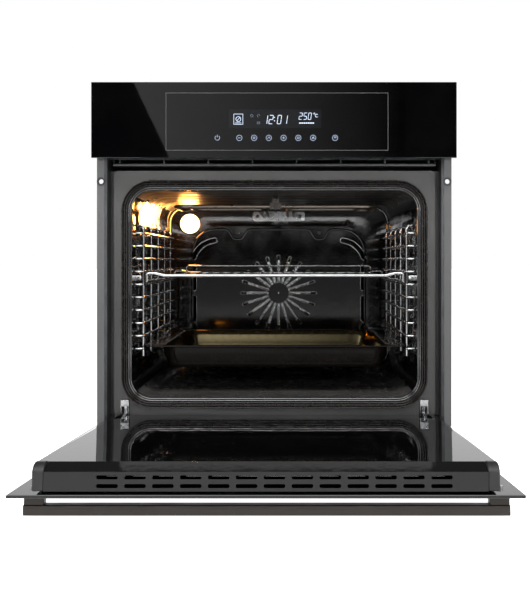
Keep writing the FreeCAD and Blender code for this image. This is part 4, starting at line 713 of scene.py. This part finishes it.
# ---- sub-assemblies
@dataclass
class ControlPanel:
    """Black glass fascia with its print, display and touch symbols, in mm from its lower edge."""

    glass: Span = span("control_panel_glass")
    proud: float = 0.12 * MM
    frame_x: Pair = (-176.0, 186.0)
    frame_z: Pair = (12.0, 106.0)
    window_x: Pair = (-73.0, 77.0)
    window_z: Pair = (48.5, 78.5)
    thin: float = 0.7
    thick: float = 0.8
    clock: tuple[tuple[str, float], ...] = (("1", -17.5), ("2", -8.5), ("0", 5.0), ("1", 14.6))
    clock_z: float = 55.4
    clock_size: Triple = (5.8, 13.8, 0.95)
    colon: Pair = (0.2, 1.5)
    degrees_x: float = 40.5
    degrees_z: float = 62.4
    degrees_size: Triple = (4.6, 10.6, 0.85)
    degrees_step: float = 7.4
    level_x: float = 41.0
    level_step: float = 3.6
    symbol_z: float = 32.5
    symbol_x: tuple[float, ...] = (-92.0, -56.3, -32.3, -8.3, 15.7, 39.7, 63.7, 99.5)
    symbol_r: float = 4.4

    def build(self) -> None:
        """Make the fascia and everything printed on it."""
        eased("control_panel_glass", BLACK_GLASS, 0.5)
        frame_marks = self.plates()
        frame_marks.frame(*self.frame_x, *self.frame_z, self.thick)
        frame_marks.finish("panel_printed_frame", PRINT)
        window = self.plates()
        window.bar(*self.window_x, *self.window_z)
        window.finish("display_window", WINDOW)
        self.digits()
        self.symbols()
        dress(DARK_SHEET_AND_SHADE, "control_panel_carrier")
        dress(BOARD, "display_board")

    def plates(self, lift: float = 0.0) -> Plates:
        """Start a set of marks on the glass, lifted clear of any window."""
        return Plates(self.glass.y0 - lift, self.glass.z0, self.proud)

    def digits(self) -> None:
        """Clock, temperature, degree sign, level bar and the small function box."""
        marks = self.plates(self.proud)
        for mark, x in self.clock:
            marks.digit(mark, x, self.clock_z, *self.clock_size)
        left, dot = self.colon
        for rise in (4.0, 9.6):
            marks.bar(left, left + dot, self.clock_z + rise, self.clock_z + rise + dot)
        for i, mark in enumerate("250"):
            marks.digit(mark, self.degrees_x + self.degrees_step * i, self.degrees_z, *self.degrees_size)
        marks.arc(65.6, self.degrees_z + 9.6, 1.1, 0.6)
        marks.arc(69.6, self.degrees_z + 6.2, 2.4, self.thick, 45, 315)
        for i in range(7):
            x = self.level_x + self.level_step * i
            marks.bar(x, x + 2.6, 55.6, 57.6)
        marks.frame(-65.6, -50.2, 54.2, 71.6, self.thin)
        marks.arc(-57.9, 63.0, 4.0, self.thick)
        marks.stroke((-60.6, 60.3), (-55.2, 65.7), self.thin)
        marks.bar(-63.0, -52.8, 56.4, 57.2)
        marks.finish("display_digits", DIGITS)

    def symbols(self) -> None:
        """Touch symbols: a power mark and seven ringed signs."""
        marks = self.plates()
        z, r, line = self.symbol_z, self.symbol_r, self.thin
        for i, x in enumerate(self.symbol_x):
            if i == 0:
                marks.arc(x, z, r * 0.85, line, 125, 415)
                marks.bar(x - line / 2, x + line / 2, z + 0.2 * r, z + 1.15 * r)
                continue
            marks.arc(x, z, r, line)
            self.sign(marks, i, x, z, r * 0.5, self.thick)
        marks.arc(-36.0, 68.6, 2.0, line)
        marks.arc(-25.0, 68.6, 2.0, line, 0, 270)
        marks.frame(-27.4, -22.8, 55.0, 58.6, line)
        marks.finish("touch_symbols", SYMBOLS)

    @staticmethod
    def sign(marks: Plates, which: int, x: float, z: float, reach: float, line: float) -> None:
        """Draw the small sign inside one ring.

        Args:
            marks: where to draw.
            which: the symbol's place in the row.
            x: its centre across.
            z: its centre height.
            reach: half the sign's size.
            line: the width of its strokes.
        """
        if which in (1, 4, 7):
            marks.bar(x - reach, x + reach, z - line / 2, z + line / 2)
        if which in (4, 6):
            marks.bar(x - line / 2, x + line / 2, z - reach, z + reach)
        if which in (2, 5):
            marks.arc(x, z, reach * 0.7, line)
        if which in (3, 6):
            marks.stroke((x - reach, z - reach * 0.6), (x + reach * 0.2, z + reach * 0.9), line)
            marks.stroke((x + reach * 0.2, z + reach * 0.9), (x + reach, z - reach * 0.6), line)
        if which == 7:
            marks.bar(x - reach, x + reach, z + reach * 0.6, z + reach * 0.6 + line)


@dataclass
class MouthSurround:
    """Front frame, rubber gasket with its ridges and the rolled enamel lip round the mouth."""

    shell: Span = span("cavity_shell")
    seal: Span = span("door_gasket")
    sheet: float = 1.2 * MM
    corner: float = 34.0 * MM
    ribs: int = 3
    seal_out: float = 17.0
    seal_run: float = 10.8
    rib_high: float = 6.0
    rib_fall: float = 2.6
    rib_round: float = 0.55
    loop: Loop = field(default_factory=lambda: Loop.of(22, 40, 30))

    def build(self) -> None:
        """Make the frame, seal and lip."""
        eased("front_frame", FRAME_ENAMEL, 0.6)
        self.gasket()
        self.lip()

    def swept(self, name: str, offset: Array, depth: Array, finish: Finish) -> Thing:
        """Carry a closed profile round the mouth.

        Args:
            name: the piece's name.
            offset: the profile's steps outwards from the mouth's edge.
            depth: the profile's places along Y.
            finish: its finish.

        Returns:
            The new piece.
        """
        half_a = self.shell.half_x - self.sheet + offset
        half_b = self.shell.half_z - self.sheet + offset
        ring = self.loop.rings(half_a, half_b, self.corner + offset)
        points = stood(ring, depth[:, None], self.shell.z_mid)
        return piece(name, points, grid_faces(*points.shape[:2], True, True), finish, 50.0)

    def gasket(self) -> None:
        """Rubber seal: ribs that grow towards the outside, each a rounded half wave of the profile."""
        t = np.linspace(0, 1, 81)
        offset = (self.seal_out - self.seal_run * t) * MM
        waves = np.abs(np.sin(self.ribs * np.pi * t)) ** self.rib_round
        rise = (self.rib_high - self.rib_fall * t) * waves * MM
        front = self.seal.y1 - 0.1 * MM - np.clip(rise, 0.5 * MM, None)
        depth = np.concatenate([front, np.full(2, self.seal.y1)])
        offset = np.concatenate([offset, [offset[-1], offset[0]]])
        seal = self.swept("gasket_rubber_ring", offset, depth, RUBBER)
        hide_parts("door_gasket")

    def lip(self) -> None:
        """Rolled lip: two round beads of enamelled sheet, the inner one turning into the cavity."""
        t = np.linspace(0, 1, 49)
        offset = (6.0 - 6.6 * t) * MM
        beads = 2.4 * np.abs(np.sin(2 * np.pi * t)) ** 0.7 * MM
        front = self.seal.y1 - 0.15 * MM - beads
        back = np.full(2, self.seal.y1 + 3.0 * MM)
        depth = np.concatenate([front, back])
        offset = np.concatenate([offset, [-0.6 * MM, 0.4 * MM]])
        # The lip's enamel has the boosted reflection, a painted highlight.
        self.swept("rolled_mouth_lip", offset, depth, EDGE_ENAMEL_HIGHLIGHT)


@dataclass
class Cavity:
    """Enamelled liner with pressed ribs, its rear wall and what is fixed to it."""

    shell: Span = span("cavity_shell")
    sheet: float = 1.2 * MM
    corner: float = 34.0 * MM
    rib_rise: float = 1.6 * MM
    rib_x: tuple[float, ...] = (150.0, 166.0, 182.0, 198.0)
    seam: float = 3.2 * MM
    ripple: float = 0.12 * MM

    def build(self) -> None:
        """Make the liner and dress the rear wall."""
        self.liner()
        self.rear_seam()
        dress(BLACK_ENAMEL, "cavity_back_wall")
        dress(BLACKENED, "temperature_probe")
        dress(WOOL, "insulation_blanket")

    def liner(self) -> None:
        """Liner: rounded rectangles along the depth, pushed inwards by ribs and a raised floor panel."""
        loop = Loop.of(14, 150, 60)
        depth = np.linspace(self.shell.y0, self.shell.y1, 90)
        half_a = np.full(len(depth), self.shell.half_x - self.sheet)
        half_b = np.full(len(depth), self.shell.half_z - self.sheet)
        inner = loop.rings(half_a, half_b, np.full(len(depth), self.corner))
        along = (depth - self.shell.y0) / (self.shell.y1 - self.shell.y0)
        push = self.relief(inner[..., 0], inner[..., 1], along[:, None], loop.outward[None])
        inner = inner - loop.outward[None] * push[..., None]
        outer = loop.rings(half_a[[-1, 0]] + self.sheet, half_b[[-1, 0]] + self.sheet,
            np.full(2, self.corner + self.sheet))
        section = np.concatenate([inner, outer])
        y = np.concatenate([depth, depth[[-1, 0]]])
        points = stood(section, y[:, None], self.shell.z_mid)
        liner = piece("cavity_liner", points, grid_faces(*points.shape[:2], True, True), BLACK_ENAMEL)
        second_finish(liner, DULL_ENAMEL, -UP, 0.7)
        # The floor faces get the lighter grey enamel, painted light.
        second_finish(liner, FLOOR_PAINTED_LIGHT, UP, 0.7)
        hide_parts("cavity_shell")

    def rear_seam(self) -> None:
        """Rolled bead where the liner meets the rear wall: a round bar round the section."""
        loop = Loop.of(14, 40, 30)
        inset = self.sheet + self.seam * 0.6
        ring = loop.rings(np.array([self.shell.half_x - inset]), np.array([self.shell.half_z - inset]),
            np.array([self.corner]))[0]
        path = stood(ring, self.shell.y1 - self.seam, self.shell.z_mid)
        # The seam's enamel has the boosted reflection, a painted highlight.
        piece("rear_wall_seam", *tube(path, self.seam, 12, True), EDGE_ENAMEL_HIGHLIGHT, 60.0)

    def relief(self, x: Array, z: Array, along: Array, outward: Array) -> Array:
        """Height of the pressing at each point.

        The floor has raised ribs either side of a raised panel; the sides have one long level rib.

        Args:
            x: position across.
            z: height from the liner's middle.
            along: 0 at the mouth to 1 at the rear.
            outward: outward direction of the section.

        Returns:
            How far the sheet is pushed inwards.
        """
        floor = np.clip(-outward[..., 1], 0, 1) ** 4
        roof = np.clip(outward[..., 1], 0, 1) ** 4
        wall = np.abs(outward[..., 0]) ** 4
        run = self.step(along, 0.10, 0.9, 0.02)
        ribs = sum(np.exp(-((np.abs(x) - r * MM) / (3.4 * MM)) ** 4) for r in self.rib_x)
        panel = self.step(x / 0.13, -1.0, 1.0, 0.03) * self.step(along, 0.14, 0.86, 0.012)
        ring = panel - 0.9 * self.step(x / 0.12, -1.0, 1.0, 0.03) * self.step(along, 0.17, 0.83, 0.012)
        band = np.exp(-((z - 0.118) / 0.006) ** 4) + np.exp(-((z + 0.118) / 0.006) ** 4)
        steps = sum(self.step(along, a, a + 0.05, 0.008) for a in (0.03, 0.14, 0.27, 0.42, 0.58, 0.74))
        slow = np.sin(150 * z + 3 * np.sin(20 * along)) + np.sin(45 * along + 60 * z)
        wave = slow + np.sin(120 * x + 25 * along)
        pressed = self.rib_rise * (floor * (ribs * run + ring) + wall * band * run + roof * steps)
        return pressed + self.ripple * (wave + 3.0)

    @staticmethod
    def step(value: Array, low: float, high: float, soft: float) -> Array:
        """One between low and high with soft flanks, zero outside."""
        return 0.5 * (np.tanh((value - low) / soft) - np.tanh((value - high) / soft))


@dataclass
class FanCover:
    """Pressed cover over the convection fan, the fan behind it and its bead outline."""

    cover: Span = span("fan_cover")
    screw_x: float = 88.0 * MM
    bead: float = 3.0 * MM
    bead_inset: float = 8.0 * MM
    bead_corner: float = 50.0 * MM
    dip: float = 21.0 * MM
    dip_width: float = 17.0 * MM
    hub_z: float = 235.0 * MM
    rays: int = 20
    ray_ends: Pair = (22.0 * MM, 82.0 * MM)
    ray_half: float = 3.0 * MM
    side_x: float = 181.0 * MM
    side_half: float = 5.0 * MM
    side_ends: Pair = (5.0 * MM, 62.0 * MM)
    arc_x: float = 132.0 * MM
    arc_inset: float = 84.0 * MM
    arc_r: float = 53.0 * MM
    arc_half: float = 5.4 * MM
    arc_turn: Pair = (18.0, 84.0)
    lip: float = 0.8 * MM

    def build(self) -> None:
        """Make the cover, its pressed outline and the parts round the fan."""
        eased("fan_cover", BLACK_ENAMEL, 0.5)
        self.outline()
        self.slot_lips()
        dress(BLACKENED, "fan_cover_screws")
        dress(ALUMINIUM, "convection_fan")
        dress(MOTOR, "fan_motor")

    def outline(self) -> None:
        """Pressed bead: a half-sunk bar round a rectangle that dips under the two screws."""
        loop = Loop.of(18, 120, 40)
        half_a = np.array([self.cover.half_x - self.bead_inset])
        half_b = np.array([self.cover.half_z - self.bead_inset])
        ring = loop.rings(half_a, half_b, np.array([self.bead_corner]))[0]
        dip = sum(np.exp(-((ring[:, 0] - s * self.screw_x) / self.dip_width) ** 4) for s in (-1, 1))
        top = np.clip(loop.outward[:, 1], 0, 1) ** 6
        ring[:, 1] -= self.dip * dip * top
        points, faces = tube(stood(ring, self.cover.y0 + 0.5 * MM, self.cover.z_mid), self.bead, 10, True)
        points[:, 1] = self.cover.y0 + (points[:, 1] - self.cover.y0) * 0.5
        piece("fan_cover_pressed_bead", points, faces, BLACK_ENAMEL, 60.0)

    @staticmethod
    def bent_slot(centre: Array, radius: float, half: float, start: float, end: float) -> Array:
        """Outline of a slot along an arc: inner arc out, round end, outer arc back, round end.

        Args:
            centre: the arc's centre as (x, z).
            radius: the arc's radius.
            half: half the slot's width.
            start: first angle in radians.
            end: last angle in radians.

        Returns:
            Points as rows of (x, z).
        """
        sweep = np.linspace(start, end, 16)
        turn = np.linspace(0, np.pi, 9)[1:-1]
        way = np.sign(end - start)
        inner = centre + (radius - half) * compass(sweep)
        outer = centre + (radius + half) * compass(sweep[::-1])
        caps = []
        for angle, sense in ((end, way), (start, -way)):
            spoke = compass(angle)
            ahead = sense * np.array([-spoke[1], spoke[0]])
            first = -spoke if sense == way else spoke
            middle = centre + radius * spoke
            caps.append(middle + half * compass(turn) @ np.stack([first, ahead]))
        return np.concatenate([inner, caps[0], outer, caps[1]])

    @staticmethod
    def straight_slot(near: Array, far: Array, half: float) -> Array:
        """Outline of a straight slot with round ends between two (x, z) end points."""
        along = (far - near) / np.linalg.norm(far - near)
        side = np.array([-along[1], along[0]])
        turn = np.linspace(0, np.pi, 9)
        tip = far - along * half + half * compass(turn) @ np.stack([-side, along])
        tail = near + along * half + half * compass(turn) @ np.stack([side, -along])
        return np.concatenate([tip, tail])

    def slot_lips(self) -> None:
        """Turned-over lips round every slot: a thin round bar, half sunk, along each outline."""
        outlines = []
        hub = np.array([0.0, self.hub_z])
        for i in range(self.rays):
            spoke = compass(2 * np.pi * i / self.rays + np.pi / 2)
            near, far = (hub + spoke * reach for reach in self.ray_ends)
            outlines.append(self.straight_slot(near, far, self.ray_half))
        for side in (-1, 1):
            for rise in (-1, 1):
                near = np.array([side * self.side_x, self.hub_z + rise * self.side_ends[0]])
                far = np.array([side * self.side_x, self.hub_z + rise * self.side_ends[1]])
                outlines.append(self.straight_slot(near, far, self.side_half))
                z = self.cover.z1 - self.arc_inset if rise > 0 else self.cover.z0 + self.arc_inset
                centre = np.array([self.arc_x, z])
                arc = self.bent_slot(centre, self.arc_r, self.arc_half, *np.radians(self.arc_turn))
                arc[:, 0] *= side
                arc[:, 1] = z + rise * (arc[:, 1] - z)
                outlines.append(arc)
        points, faces, count = [], [], 0
        for line in outlines:
            at, quads = tube(stood(line, self.cover.y0 + 0.1 * MM), self.lip, 6, True)
            points.append(at)
            faces.append(quads + count)
            count += len(at)
        # The lips wear bright metal as painted glints.
        piece("fan_cover_slot_lips", np.concatenate(points), np.concatenate(faces), SLOT_LIP_GLINT, 60.0)


@dataclass
class Tray:
    """Deep enamelled tray: rolled rim, side flanges and a rounded pan."""

    whole: Span = span("baking_tray")
    side_flange: float = 27.0 * MM
    end_flange: float = 8.0 * MM
    draft: float = 9.0 * MM
    bowl_round: float = 12.0 * MM
    corner: float = 26.0 * MM
    sheet: float = 1.0 * MM
    rim: float = 2.4 * MM

    def build(self) -> None:
        """Make the tray as rings from its outer bottom, round the rim and down to its inner floor."""
        half_y = (self.whole.y1 - self.whole.y0) / 2
        wide = self.whole.half_x
        top = self.whole.z1
        deep = self.whole.z1 - self.whole.z0 - self.rim
        rows = []
        for inside in (False, True):
            skin = self.sheet if inside else 0.0
            turn = np.linspace(0, np.pi / 2, 9)
            r = self.bowl_round
            fall = [(self.draft + r + 60 * MM, deep), (self.draft + r, deep)]
            fall += [(self.draft + r - r * math.sin(a) * 0.98, deep - r + r * math.cos(a)) for a in turn]
            fall += [(self.draft * 0.4, deep * 0.35), (1.2 * MM, 2.0 * MM), (0.0, 0.6 * MM),
                (-1.4 * MM, 0.0)]
            ring = []
            for inward, down in fall:
                shrink = inward + (skin if down > 0 else 0.0)
                ring.append((wide - self.side_flange - shrink, half_y - self.end_flange - shrink,
                    self.corner - min(inward, 20 * MM) * 0.5, top - self.rim - down + skin))
            rows.append(ring)
        edge = [(0.0, -1.0), (0.7, -0.7), (1.0, 0.0), (0.7, 0.7), (0.0, 1.0), (-0.7, 0.7), (-1.0, 0.0)]
        lip_r = self.rim / 2
        bead = [(wide - lip_r + e[0] * lip_r, half_y - lip_r + e[0] * lip_r, 6 * MM,
            top - lip_r + e[1] * lip_r) for e in edge]
        meet = (wide - self.rim, half_y - self.rim, 6 * MM)
        under = [(*meet, top - self.rim)]
        over = [(*meet, top - self.rim + self.sheet)]
        stack = rows[0] + under + bead + over + rows[1][::-1]
        small = np.array([4 * MM, 4 * MM, 2 * MM, 1.0])
        shut = small * [0.001, 0.001, 0.001, 1]
        low, high = [1, 1, 1, stack[0][3]], [1, 1, 1, stack[-1][3]]
        table = np.array([shut * low, small * low, *stack, small * high, shut * high])
        ring = Loop.of(12, 24, 24).rings(table[:, 0], table[:, 1], table[:, 2])
        z = np.repeat(table[:, 3][:, None], ring.shape[1], 1)
        points = np.stack([ring[..., 0], ring[..., 1] + self.whole.y_mid, z], -1)
        made = piece("enamelled_tray", points, grid_faces(*points.shape[:2], False, True), TRAY_ENAMEL,
            40.0, "baking_tray")
        # The inner faces get the painted golden reflection.
        self.paint_inside_reflection(made)
        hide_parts("baking_tray")

    def paint_inside_reflection(self, tray: Thing) -> None:
        """Give the tray's inner faces the painted golden reflection: those that look towards its middle or
        up from its floor.
        """
        mesh = tray.data
        normals = per_face(mesh, "normal")
        centres = per_face(mesh, "center") - [0.0, self.whole.y_mid, 0.0]
        towards = (normals[:, :2] * centres[:, :2]).sum(1) < -0.2 * np.linalg.norm(centres[:, :2], axis=1)
        low = centres[:, 2] < self.whole.z1 - self.rim
        inside = (towards & low) | ((normals[:, 2] > 0.6) & (centres[:, 2] < self.whole.z_mid))
        mesh.materials.append(TRAY_GOLD_REFLECTION.material())
        mesh.polygons.foreach_set("material_index", inside.astype(np.int32))


@dataclass
class Furniture:
    """Chromed racks and shelf, heaters, lamp and their fixings inside the cavity."""

    def build(self) -> None:
        """Dress the wire work and heaters."""
        dress(CHROME, "rack_left", "rack_right", "wire_shelf", "rack_nuts")
        dress(HEATER, "grill_element", "bottom_element", "ring_element")
        eased("element_flange", ZINC, 0.4)
        eased("element_clip", BLACKENED, 0.4)
        dress(LIT_LENS, "lamp_lens")
        dress(LIT_BULB, "lamp_bulb")
        dress(STEATITE, "lamp_socket")


@dataclass
class Door:
    """Drop-down door: glass panes, vented top strip, end caps, profiles and handle."""

    def build(self) -> None:
        """Ease and dress every door part."""
        eased("door_outer_glass", BLACK_GLASS, 0.4, "door")
        eased("door_inner_glass", MIRROR_GLASS, 0.4, "door")
        dress(CLEAR_GLASS, "door_middle_glass")
        second_finish(eased("door_top_trim", DOOR_PAINT, 0.35, "door"), TRIM_LACQUER, UP)
        eased("door_end_caps", CAP_PLASTIC, 2.2, "door", 4)
        for node in ("door_side_profile_left", "door_side_profile_right", "door_bottom_trim"):
            eased(node, DOOR_PAINT, 0.4, "door")
        eased("handle_bar", ANODISED, 0.4, "door")
        eased("handle_posts", ANODISED, 0.4, "door")
        dress(ZINC, "handle_screws")
        eased("hinge_channels", ZINC, 0.3, "door")
        dress(SPRING, "hinge_springs")


@dataclass
class Hinges:
    """Hinge arms, lock levers, pins and receivers."""

    def build(self) -> None:
        """Ease and dress the hinge parts."""
        for side in ("left", "right"):
            eased("hinge_arm_" + side, ZINC, 0.4)
            eased("hinge_lock_" + side, ZINC, 0.3, "hinge_lock_" + side)
        dress(ZINC, "hinge_pins")
        dress(ZINC_SHEET, "hinge_receivers")


@dataclass
class Chassis:
    """Outer sheets, flanges, deck, duct and what is screwed to them."""

    def build(self) -> None:
        """Ease and dress the chassis."""
        for side in ("left", "right"):
            panel = eased("side_panel_" + side, FLANGE_COAT, 0.4)
            # The faces that look sideways get the dark sheet, painted shade of the recess beside the door.
            second_finish(panel, DARK_SHEET_AND_SHADE, ACROSS, 0.5, True)
        for node in ("base_plate", "rear_panel", "top_panel"):
            eased(node, ZINC_SHEET, 0.3)
        dress(ZINC_SHEET, "component_deck")
        eased("air_outlet_duct", DARK_SHEET_AND_SHADE, 0.3)
        dress(ZINC, "chassis_screws")
        dress(PLASTIC, "mount_bushings", "terminal_block")
        eased("terminal_cover", PLASTIC, 0.5)
        dress(BOARD, "power_board")
        dress(ZINC_SHEET, "blower_housing")
        dress(ALUMINIUM, "blower_wheel")
        dress(MOTOR, "blower_motor")


@dataclass
class Studio:
    """Pale floor, soft lights and the camera."""

    eye: Triple = (0.031, -1.6745, 0.3037)
    lens: float = 50.9
    shift: Pair = (-0.0458, -0.065)

    def build(self) -> None:
        """Set the stage."""
        self.camera()
        self.floor()
        self.world()
        self.panel_sheen()
        self.soft_box("key_above_front", (0.0, -1.6, 2.4), (0.0, -0.2, 0.3), 2.4, 1.2, 7.5)
        self.soft_box("low_strip_front", (0.0, -1.75, 0.545), (0.0, -0.2, 0.30), 2.4, 0.11, 13.0)
        self.soft_box("fill_left", (-2.2, -1.0, 1.0), (0.0, -0.2, 0.3), 0.8, 1.8, 4.0)
        self.soft_box("fill_right", (2.2, -1.0, 1.0), (0.0, -0.2, 0.3), 0.8, 1.8, 4.0)
        self.oven_lamp()

    def camera(self) -> None:
        """Level camera in front of the oven."""
        data = bpy.data.cameras.new("view")
        data.lens = self.lens
        data.sensor_width = 36.0
        data.shift_x, data.shift_y = self.shift
        data.clip_start = 0.01
        eye = placed("view", data)
        eye.location = self.eye
        eye.rotation_euler = (math.pi / 2, 0.0, 0.0)
        bpy.context.scene.camera = eye

    def floor(self) -> None:
        """Plain pale floor under the oven."""
        mesh = bpy.data.meshes.new("floor")
        reach = 30.0
        z = CAD_BOX[0][2] - 0.0005
        mesh.from_pydata([(-reach, -reach, z), (reach, -reach, z), (reach, reach, z), (-reach, reach, z)],
            [], [(0, 1, 2, 3)])
        mat = blank("pale_floor")
        tree = mat.node_tree
        place = add(tree, "TexCoord")
        axes = add(tree, "SeparateXYZ", None, {0: place.outputs["Object"]})
        fill = ramp(tree, axes.outputs["Y"], -0.78, -0.66, 0.2)
        paint = {"Base Color": linear("F4F4F3"), "Roughness": 0.9, "Emission Color": linear("FFFFFF")}
        skin = add(tree, "BsdfPrincipled", paint, {"Emission Strength": fill})
        add(tree, "OutputMaterial", None, {"Surface": skin})
        mesh.materials.append(mat)
        ground = placed("floor", mesh)
        ground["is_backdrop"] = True

    def world(self) -> None:
        """White surroundings for the eye, a soft grey room for the reflections."""
        room = bpy.data.worlds.new("studio")
        room.use_nodes = True
        tree = room.node_tree
        tree.nodes.clear()
        path = add(tree, "LightPath")
        seen = add(tree, "Background", {"Color": (1, 1, 1, 1), "Strength": 1.0})
        toward = add(tree, "TexCoord")
        axes = add(tree, "SeparateXYZ", None, {0: toward.outputs["Generated"]})
        behind = ramp(tree, axes.outputs["Y"], -0.2, 0.4, 0.015, 0.9)
        low = ramp(tree, axes.outputs["Z"], 0.25, 0.75, 1.0, 0.1)
        level = add(tree, "Math", {"operation": "MULTIPLY"}, {0: behind, 1: low})
        soft = add(tree, "Background", {"Color": (1, 1, 1, 1)}, {"Strength": level})
        both = add(tree, "MixShader", None, {0: path.outputs["Is Camera Ray"], 1: soft, 2: seen})
        add(tree, "OutputWorld", None, {"Surface": both})
        bpy.context.scene.world = room
        bpy.context.scene.view_settings.view_transform = "Standard"

    def panel_sheen(self) -> None:
        """Dim slanted reflector beside the lens that draws the sheen across the panel glass."""
        y = self.eye[1] - 0.02
        rows = [(0.55, -0.33), (1.65, -0.853)]
        corners = [(rows[0][1], y, rows[0][0]), (0.40, y, rows[0][0]), (0.40, y, rows[1][0]),
            (rows[1][1], y, rows[1][0])]
        mesh = bpy.data.meshes.new("sheen_reflector")
        mesh.from_pydata(corners, [], [(3, 2, 1, 0)])
        mat = blank("dim_reflector_cloth")
        tree = mat.node_tree
        place = add(tree, "TexCoord")
        axes = add(tree, "SeparateXYZ", None, {0: place.outputs["Object"]})
        fade = ramp(tree, axes.outputs["X"], -0.45, 0.38, 0.85, 0.0)
        rise = ramp(tree, axes.outputs["Z"], 0.95, 1.15, 1.0, 2.6)
        both = add(tree, "Math", {"operation": "MULTIPLY"}, {0: fade, 1: rise})
        cloth = add(tree, "Emission", {"Color": (1, 1, 1, 1)}, {"Strength": both})
        add(tree, "OutputMaterial", None, {"Surface": cloth})
        mesh.materials.append(mat)
        sheet = placed("sheen_reflector", mesh)
        sheet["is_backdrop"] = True

    @staticmethod
    def soft_box(name: str, at: Triple, to: Triple, wide: float, tall: float, radiance: float) -> None:
        """Hang one soft rectangular light.

        Args:
            name: the light's name.
            at: its centre.
            to: the point it faces.
            wide: its width.
            tall: its height.
            radiance: brightness of its face.
        """
        data = bpy.data.lights.new(name, "AREA")
        data.shape = "RECTANGLE"
        data.size = wide
        data.size_y = tall
        data.energy = radiance * math.pi * wide * tall
        lamp = placed(name, data)
        lamp.location = at
        lamp.rotation_euler = (Vector(to) - Vector(at)).to_track_quat("-Z", "Y").to_euler()

    @staticmethod
    def oven_lamp() -> None:
        """Warm light of the cavity lamp, just in front of its lens."""
        lens = Span.of("lamp_lens")
        data = bpy.data.lights.new("cavity_lamp", "POINT")
        data.energy = 0.9
        data.color = linear("FFA54A")[:3]
        data.shadow_soft_size = 0.02
        lamp = placed("cavity_lamp", data)
        lamp.location = (lens.x_mid, lens.y0 - 0.022, lens.z_mid)


def main() -> None:
    """Build the sub-assemblies in order."""
    logging.basicConfig(level=logging.INFO, stream=sys.stdout, format="%(name)s: %(message)s")
    for part in (Studio, ControlPanel, MouthSurround, Cavity, FanCover, Tray, Furniture, Door, Hinges,
        Chassis):
        LOG.info("building %s", part.__name__)
        part().build()


if __name__ == "__main__":
    main()
